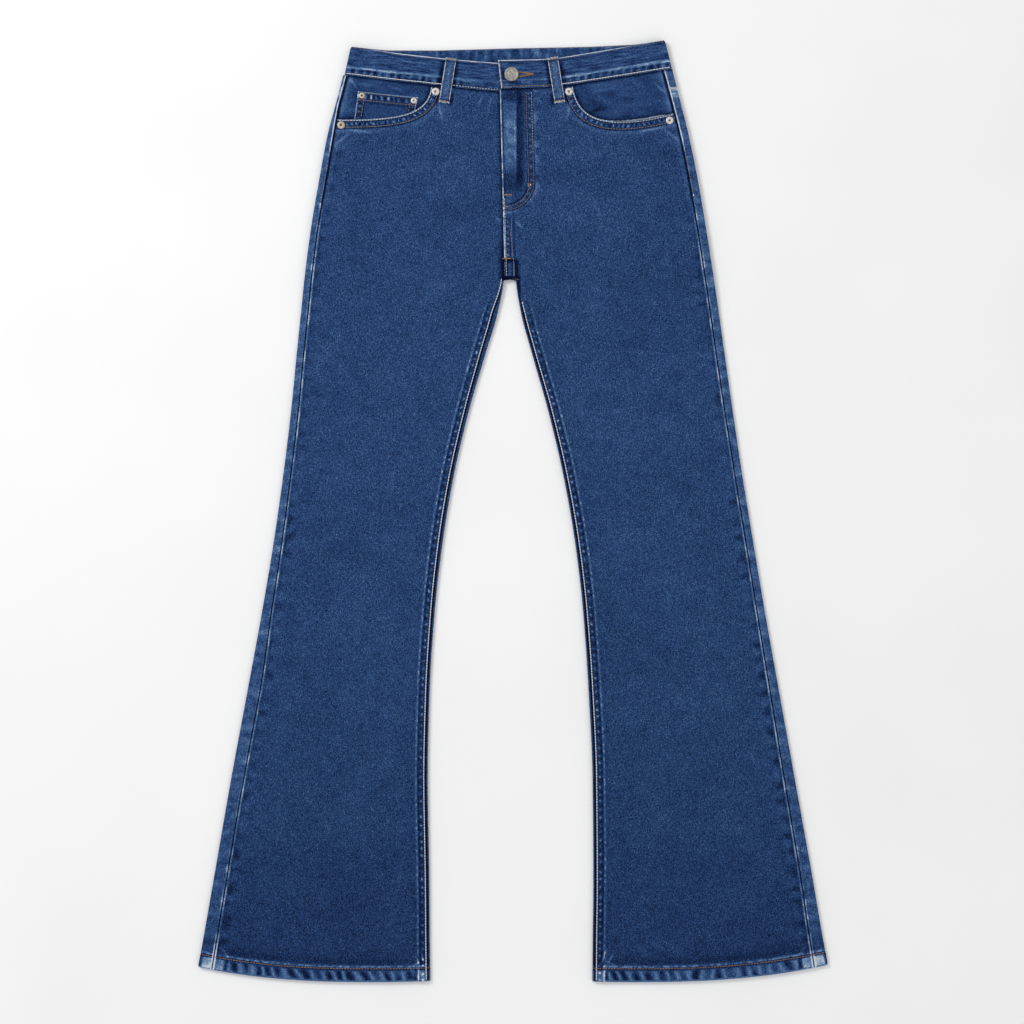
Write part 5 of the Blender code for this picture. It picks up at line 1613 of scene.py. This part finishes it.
buttonLook = {"place": (-2.3, 522.0), "baseZ": 9.1}
buttonProfile = (
    (0.0, 0.0), (7.9, 0.0), (8.35, 0.15), (8.6, 0.55), (8.6, 1.35), (8.45, 1.85), (8.1, 2.25), (7.6, 2.5),
    (7.1, 2.55), (6.75, 2.42), (6.5, 2.2), (6.3, 2.12), (4.6, 2.14), (4.3, 2.24), (3.9, 2.32), (3.4, 2.32),
    (3.0, 2.22), (2.7, 2.12), (1.5, 2.10), (1.2, 2.2), (0.7, 2.26), (0.0, 2.28),
)
turnedPiece(
    "waistButton", buttonLook["place"], buttonProfile, buttonLook["baseZ"], "button", 64, "buttonMetal"
)

# Rivets: radius, height and place of each one
rivets = {
    "rivet_right_inner": (4.65, 1.7, (-93.2, 501.6)),
    "rivet_right_outer": (4.65, 1.7, (-206.4, 461.4)),
    "rivet_left_inner": (4.65, 1.7, (66.5, 501.6)),
    "rivet_left_outer": (4.65, 1.7, (187.0, 467.0)),
    "rivet_coin_outer": (3.6, 1.4, (-181.6, 496.8)),
    "rivet_coin_inner": (3.6, 1.4, (-119.4, 490.8)),
}
rivetLook = {"baseZ": 7.1, "steps": 40, "dull": ("rivet_right_outer", "rivet_coin_outer")}
rivetShape = (
    (0.0, 0.0), (0.96, 0.0), (1.0, 0.08), (1.0, 0.42), (0.95, 0.72), (0.86, 0.90), (0.72, 0.98),
    (0.48, 1.0), (0.36, 0.94), (0.30, 0.72), (0.27, 0.34), (0.22, 0.22), (0.12, 0.20), (0.08, 0.42),
    (0.0, 0.46),
)
for node, (radius, height, place) in rivets.items():
    _, first, second = node.split("_")
    title = first + second.capitalize() + "Rivet"
    finish = "dullNickel" if node in rivetLook["dull"] else "nickel"
    profile = [(reach * radius, rise * height) for reach, rise in rivetShape]
    turnedPiece(title, place, profile, rivetLook["baseZ"], node, rivetLook["steps"], finish)
print("button and rivets made")

# Thread: every stitch is one small grain laid on the surface under it
stitchLook = {"pitch": 3.4, "length": 2.7, "wide": 0.62, "thick": 0.5}
threads = {"cream": [], "tan": [], "copper": []}


def surfaceAt(x, y, over, below=False):
    start = Vector((x * mm, y * mm, -0.02 if below else 0.05))
    way = Vector((0, 0, 1 if below else -1))
    hits = [trees[name].ray_cast(start, way) for name in over]
    hits = [(distance, place, normal) for place, normal, _, distance in hits if place is not None]
    if not hits:
        return None
    _, place, normal = min(hits, key=lambda hit: hit[0])
    return place, -normal if normal.dot(way) > 0 else normal


def stitchRow(colour, line, over, below=False, length=None, wide=None):
    pitch, line = stitchLook["pitch"], np.array(line, float)
    total = walked(line)[-1]
    count = max(1, int(total / pitch))
    middles = (np.arange(count) + 0.5) * total / count
    size = length or stitchLook["length"] * (total / count) / pitch
    for middle in middles:
        ends = alongLine(line, np.array([middle - size / 2, middle + size / 2]))
        spots = [surfaceAt(x, y, over, below) for x, y in ends]
        if spots[0] and spots[1]:
            addStitch(colour, spots[0][0], spots[1][0], spots[0][1], wide)


def addStitch(colour, first, second, normal, wide=None, thick=None):
    way = second - first
    if way.length < 1e-6:
        return
    wide = (wide or stitchLook["wide"]) * mm
    thick = (thick or stitchLook["thick"]) * mm
    side = normal.cross(way).normalized()
    top = way.normalized().cross(side)
    middle = (first + second) / 2 + top * thick * 0.28
    turn = Matrix((way.normalized(), side, top)).transposed().to_4x4()
    size = Matrix.Diagonal((way.length * 0.56, wide / 2, thick / 2, 1.0))
    threads[colour].append(Matrix.Translation(middle) @ turn @ size)


def barTack(colour, first, second, over, wide=2.0, pitch=0.55, below=False):
    # a close zigzag between two places
    first, second = np.array(first, float), np.array(second, float)
    length = np.hypot(*(second - first))
    way = (second - first) / length
    aside = np.array([-way[1], way[0]]) * wide / 2
    count = max(3, int(length / pitch))
    for k in range(count):
        middle = first + way * (k + 0.5) * length / count
        low, high = middle - aside - way * 0.2, middle + aside + way * 0.2
        spots = [surfaceAt(x, y, over, below) for x, y in (low, high)]
        if spots[0] and spots[1]:
            addStitch(colour, spots[0][0], spots[1][0], spots[0][1], 0.6, 0.7)


# The short row beside the outseam under the hip pocket: its top and its foot
seamStitches = {"left": (432.0, 381.0), "right": (414.0, 370.0)}


def sewLegs():
    for side in sides:
        out = outward[side]
        over = [side + "Front", side + "Back"]
        level = np.arange(-546.0, 280.0 if side == "right" else 254.0, 4.0)
        low = float(hemEdge(side, 1.0))
        y = level + hemSag(side, level, 1.0)
        x = inseamX(side, level) + out * 1.6
        line = np.column_stack([x, y])
        line = line[line[:, 1] > low + 0.5]
        stitchRow("cream", line, over, wide=1.0, length=3.1)
        foot = hemShape["level"]
        outX, inX = legAt[side + "Out"](foot) - out * 1.0, legAt[side + "In"](foot) + out * 0.8
        xs = np.linspace(outX, inX, 120)
        share = portion(seamX(side, foot), inseamX(side, foot), xs)
        for below in (False, True):
            stitchRow("copper", np.column_stack([xs, hemEdge(side, share) + 16.0]), over, below, wide=0.75)
        upper = np.linspace(*seamStitches[side], 30)
        line = np.column_stack([seamX(side, upper) + out * 1.7, upper])
        stitchRow("tan", line, over, wide=0.55, length=2.6)
        stitchRow("cream", line[-1] + np.array([(0.0, -0.6), (out * 1.6, -6.0)]), over, wide=1.1, length=2.9)


def sewPockets():
    for side in sides:
        out = outward[side]
        over = [side + "Front"]
        for inset, colour, wide in ((1.2, "cream", 0.6), (9.0, "tan", 0.7)):
            row = offsetLine(openingLine[side], out * -inset)
            inside = out * (seamX(side, row[:, 1]) - row[:, 0]) > 2.0
            inside &= row[:, 1] < waistAt[side](row[:, 0]) - 1.2
            stitchRow(colour, row[inside], over, wide=wide)
    corners = (coinLook[name] for name in ("topOut", "topIn", "lowOut", "lowIn"))
    topOut, topIn, lowOut, lowIn = (np.array(corner) for corner in corners)
    over = ["coinPocket", "rightPocketFacing"]
    for drop, wide in ((1.4, 0.55), (9.8, 0.6)):
        down = np.array([-0.1, -1.0]) * drop
        stitchRow("tan", [topOut + down + (1.2, 0), topIn + down - (1.2, 0)], over, wide=wide)
    for shift in (1.4, 8.2):
        stitchRow("tan", [topOut + (shift, -2.0), lowOut + (shift, 0.0)], over, wide=0.55)
        stitchRow("tan", [topIn - (shift, 2.0), lowIn - (shift, 3.0)], over, wide=0.55)


def jLine(row, end):  # one of the fly's rows, down and round the bend until it reaches the end
    top, low, centre, radii = (np.array(flyLook[row + part]) for part in ("Top", "Low", "Centre", "Radii"))
    angles = np.linspace(0.0, math.radians(-84.0), 40)
    curve = centre + radii * np.column_stack([np.cos(angles), np.sin(angles)])
    line = np.vstack([top, blend(top, low, 0.5), curve])
    return line[line[:, 0] > end]


def sewFly():
    over = ["leftFront", "rightFront"]
    outer, inner = evenly(jLine("outer", -5.4), 200), jLine("inner", -11.6)
    straight = outer[:, 1] > flyLook["fadedTo"]
    stitchRow("cream", outer[straight], over, wide=0.37, length=2.6)  # bleached by wear above the bend
    stitchRow("tan", outer[~straight], over, wide=0.52, length=2.9)
    stitchRow("tan", inner, over, wide=0.48, length=2.9)
    low = np.linspace(374.0, 281.0, 50)
    stitchRow("cream", np.column_stack([centreX(low) + 2.2, low]), over, wide=0.5)
    for start, end in (((-5.4, 345.0), (-1.0, 310.2)), ((-1.0, 310.2), (1.4, 282.0))):
        stitchRow("tan", [start, end], over, wide=0.5)
    for colour, start, end, wide in (
        ("copper", (-13.2, 378.0), (-1.8, 378.0), 1.6),
        ("copper", (-12.6, 364.0), (-6.6, 364.0), 1.0),
        ("copper", (17.9, 391.8), (17.9, 388.0), 2.2),
        ("cream", (20.4, 391.2), (20.4, 388.8), 1.0),
        ("copper", (-13.8, 301.8), (-3.0, 301.8), 1.3),
    ):
        barTack(colour, start, end, over, wide=wide)


def upBand(rows, height):  # a row of stitches at one height up the waistband
    return np.array([blend(low, top, height / bandLook["height"]) for low, top, _ in rows])


def sewBand():
    over = ["waistBand"]
    shown = {"front": [], "back": []}
    for low, top, facing in zip(bandLow, bandHigh, bandFacing):
        face = "front" if facing[2] > 0.3 else "back" if facing[2] < -0.99 else None
        if face:
            shown[face].append((low[:2], top[:2], low[2]))
    right = [row for row in shown["front"] if row[0][0] <= -17.4]
    left = [row for row in shown["front"] if row[0][0] > -17.4 and row[2] > 6.0]
    for rows in (right, left):
        low, top = upBand(rows, 1.9), upBand(rows, 32.0)
        outer = (low[:, 0] < -84.0) | (low[:, 0] > 50.0)
        stitchRow("cream", low[outer], over, wide=0.95, length=3.3)
        if rows is right:
            stitchRow("cream", low[~outer], over, wide=0.6, length=2.3)
        else:
            stitchRow("tan", low[~outer], over, wide=0.8)
        stitchRow("tan", top, over, wide=0.36, length=1.8)
    stitchRow("cream", upBand(shown["back"], 1.9), over, below=True, wide=0.7)
    stitchRow("tan", upBand(shown["back"], 32.4), over, below=True, wide=0.5)
    stitchRow("tan", upBand(shown["back"], 33.2), over, wide=0.55)
    end = [np.array(bandStations[-1][1:3]) + (2.0, 2.0), np.array(bandStations[-1][3:5]) + (2.0, -2.0)]
    stitchRow("tan", end, over, wide=0.4)


def sewButtonhole():
    over = ["waistBand"]
    for aside in (-1.0, 1.0):
        line = [(6.0, 522.0 + aside * 2.7), (14.0, 522.2 + aside * 1.5), (20.6, 522.4 + aside * 0.7)]
        barTack("copper", line[0], line[1], over, wide=1.7, pitch=0.6)
        barTack("copper", line[1], line[2], over, wide=1.7, pitch=0.6)
    barTack("copper", (20.6, 522.4), (23.6, 522.6), over, wide=2.8, pitch=0.6)


def sewLoops():
    for name, ends in beltLoops.items():
        below = name.startswith("back")
        over = [loopTitle(name)]
        top, bottom = (np.array(end, float) for end in ends)
        way = (top - bottom) / np.linalg.norm(top - bottom)
        aside = np.array([way[1], -way[0]])
        for reach in (-3.9, 3.9):
            row = [bottom + way * 4 + aside * reach, top - way * 4 + aside * reach]
            stitchRow("tan", row, over, below, wide=0.3)
        for end in (bottom + way * 1.7, top - way * 1.7):
            barTack("tan", end - aside * 5.2, end + aside * 5.2, over, wide=2.3, below=below)
            barTack("cream", end - aside * 5.0, end + aside * 5.0, over, wide=1.9, pitch=1.7, below=below)


def sewBack():
    for side in sides:
        out, look, centre = outward[side], patchLook, garment["backCentreX"]
        over = [side + "BackPocket"]
        middle = centre + out * (look["topOut"] + look["topIn"]) / 2
        lowMiddle = centre + out * (look["lowOut"] + look["lowIn"]) / 2
        corners = np.array([
            (centre + out * look["topOut"], look["topOutY"]),
            (centre + out * look["lowOut"], look["lowY"]),
            (lowMiddle, look["tipY"]),
            (centre + out * look["lowIn"], look["lowY"]),
            (centre + out * look["topIn"], look["topInY"]),
        ])
        heart = np.array([(middle + lowMiddle) / 2, look["heartY"]])
        way = heart - corners
        way /= np.abs(way).max(axis=1, keepdims=True)
        for inset in (1.8, 8.2):
            points = corners + way * inset * 1.25
            line = np.vstack([evenly(np.array(pair), 12) for pair in zip(points, points[1:])])
            stitchRow("tan", line, over, below=True, wide=0.65)
        top = [corners[0] + (-out * 2.0, -15.2), corners[-1] + (out * 2.0, -15.2)]
        stitchRow("tan", top, over, below=True, wide=0.65)
        for corner, inward in ((corners[0], -out), (corners[-1], out)):
            barTack("copper", corner + (inward * 1.5, -3.0), corner + (inward * 8.5, -3.0), over, below=True)
        endX = float(legAt[side + "Out"](yokeSeam[side])) - out * 3.0
        yoke = np.array([(endX, yokeSeam[side]), (centre + out * 1.0, yokeSeam["centre"])])
        yoke = evenly(yoke, 60)
        for rise in (1.8, 8.2):
            stitchRow("tan", yoke + (0, rise), [side + "Yoke"], below=True, wide=0.65)
            level = yokeSeam[side] + rise
            ends = [(seamX(side, 505.0) + out * 0.8, level), (endX, level)]
            stitchRow("tan", ends, [side + "Yoke"], wide=0.5)
    for x in (garment["backCentreX"] + 2.0, garment["backCentreX"] + 8.4):  # the seat's seam
        for name, top, foot in (("leftBack", 462.0, 282.0), ("leftYoke", 516.0, 466.0)):
            stitchRow("tan", [(x, top), (x, foot)], [name], below=True, wide=0.65)


def makeThread(colour):
    grain = bmesh.new()
    bmesh.ops.create_uvsphere(grain, u_segments=6, v_segments=5, radius=1.0)
    bmesh.ops.rotate(grain, cent=(0, 0, 0), matrix=Matrix.Rotation(math.pi / 2, 3, "Y"), verts=grain.verts)
    mesh = copiesOf(meshFrom("grain", grain), threads[colour], colour + "Stitches")
    mesh.shade_smooth()
    finishPiece(linkMesh(colour + "Stitches", mesh, colour), "thread")


sewLegs()
sewPockets()
sewFly()
sewBand()
sewButtonhole()
sewLoops()
sewBack()
for colour in threads:
    makeThread(colour)
print("stitches sewn:", {colour: len(places) for colour, places in threads.items()})

# The flat size of what shows of each piece, in square metres, is worked out here but not kept
for side in sides:
    area = sheetArea(fronts[side].data)
    area = sheetArea(backs[side].data)
    round(sheetArea(yokes[side].data), 5)
    round(sheetArea(facings[side].data), 5)
    round(sheetArea(patches[side].data), 5)
round(sheetArea(coin.data), 5)
round(sheetArea(flyPiece.data), 5)


def makeFloor():
    floor = bmesh.new()
    bmesh.ops.create_grid(floor, x_segments=1, y_segments=1, size=4.0)
    bmesh.ops.translate(floor, vec=(0, 0, -0.6 * mm), verts=floor.verts)
    mesh = meshFrom("paleFloor", floor)
    finish = Finish("paleFloor")
    tint = finish.noise(finish.place(), 220.0, detail=2.0)
    colour = finish.scale(tint, (0.3, (250, 250, 250)), (0.7, (253, 253, 253)))
    normal = finish.bump(0.02, 0.1, tint)
    mesh.materials.append(finish.shader(colour, normal, **{"Roughness": 0.95, "Specular IOR Level": 0.0}))
    piece = bpy.data.objects.new("paleFloor", mesh)
    bpy.context.collection.objects.link(piece)


studio = {
    "world": 0.65,
    "keyPower": 40.0,
    "keyPlace": (-1.9, 1.5, 2.3),
    "keySize": 1.0,
    "fillPower": 8.0,
    "fillPlace": (1.8, -1.6, 2.4),
    "cameraPlace": (-0.0018, -0.0018, 3.4133),
    "lens": 100.0,
}


def softLamp(name, place, power, size):
    lamp = bpy.data.lights.new(name, "AREA")
    lamp.energy = power
    lamp.size = size
    holder = bpy.data.objects.new(name, lamp)
    holder.location = place
    holder.rotation_euler = (-Vector(place)).to_track_quat("-Z", "Y").to_euler()
    bpy.context.collection.objects.link(holder)


def makeStudio():
    makeFloor()
    world = bpy.data.worlds.new("studio")
    world.use_nodes = True
    sky = world.node_tree.nodes["Background"]
    sky.inputs["Color"].default_value = (1.0, 1.0, 1.0, 1.0)
    sky.inputs["Strength"].default_value = studio["world"]
    bpy.context.scene.world = world
    softLamp("keyLamp", studio["keyPlace"], studio["keyPower"], studio["keySize"])
    softLamp("fillLamp", studio["fillPlace"], studio["fillPower"], 2.0)
    lens = bpy.data.cameras.new("overhead")
    lens.lens = studio["lens"]
    lens.sensor_width = 36.0
    lens.clip_end = 20.0
    camera = bpy.data.objects.new("overhead", lens)
    camera.location = studio["cameraPlace"]
    bpy.context.collection.objects.link(camera)
    bpy.context.scene.camera = camera
    bpy.context.scene.view_settings.view_transform = "Standard"


makeStudio()
print("floor, lamps and camera placed")
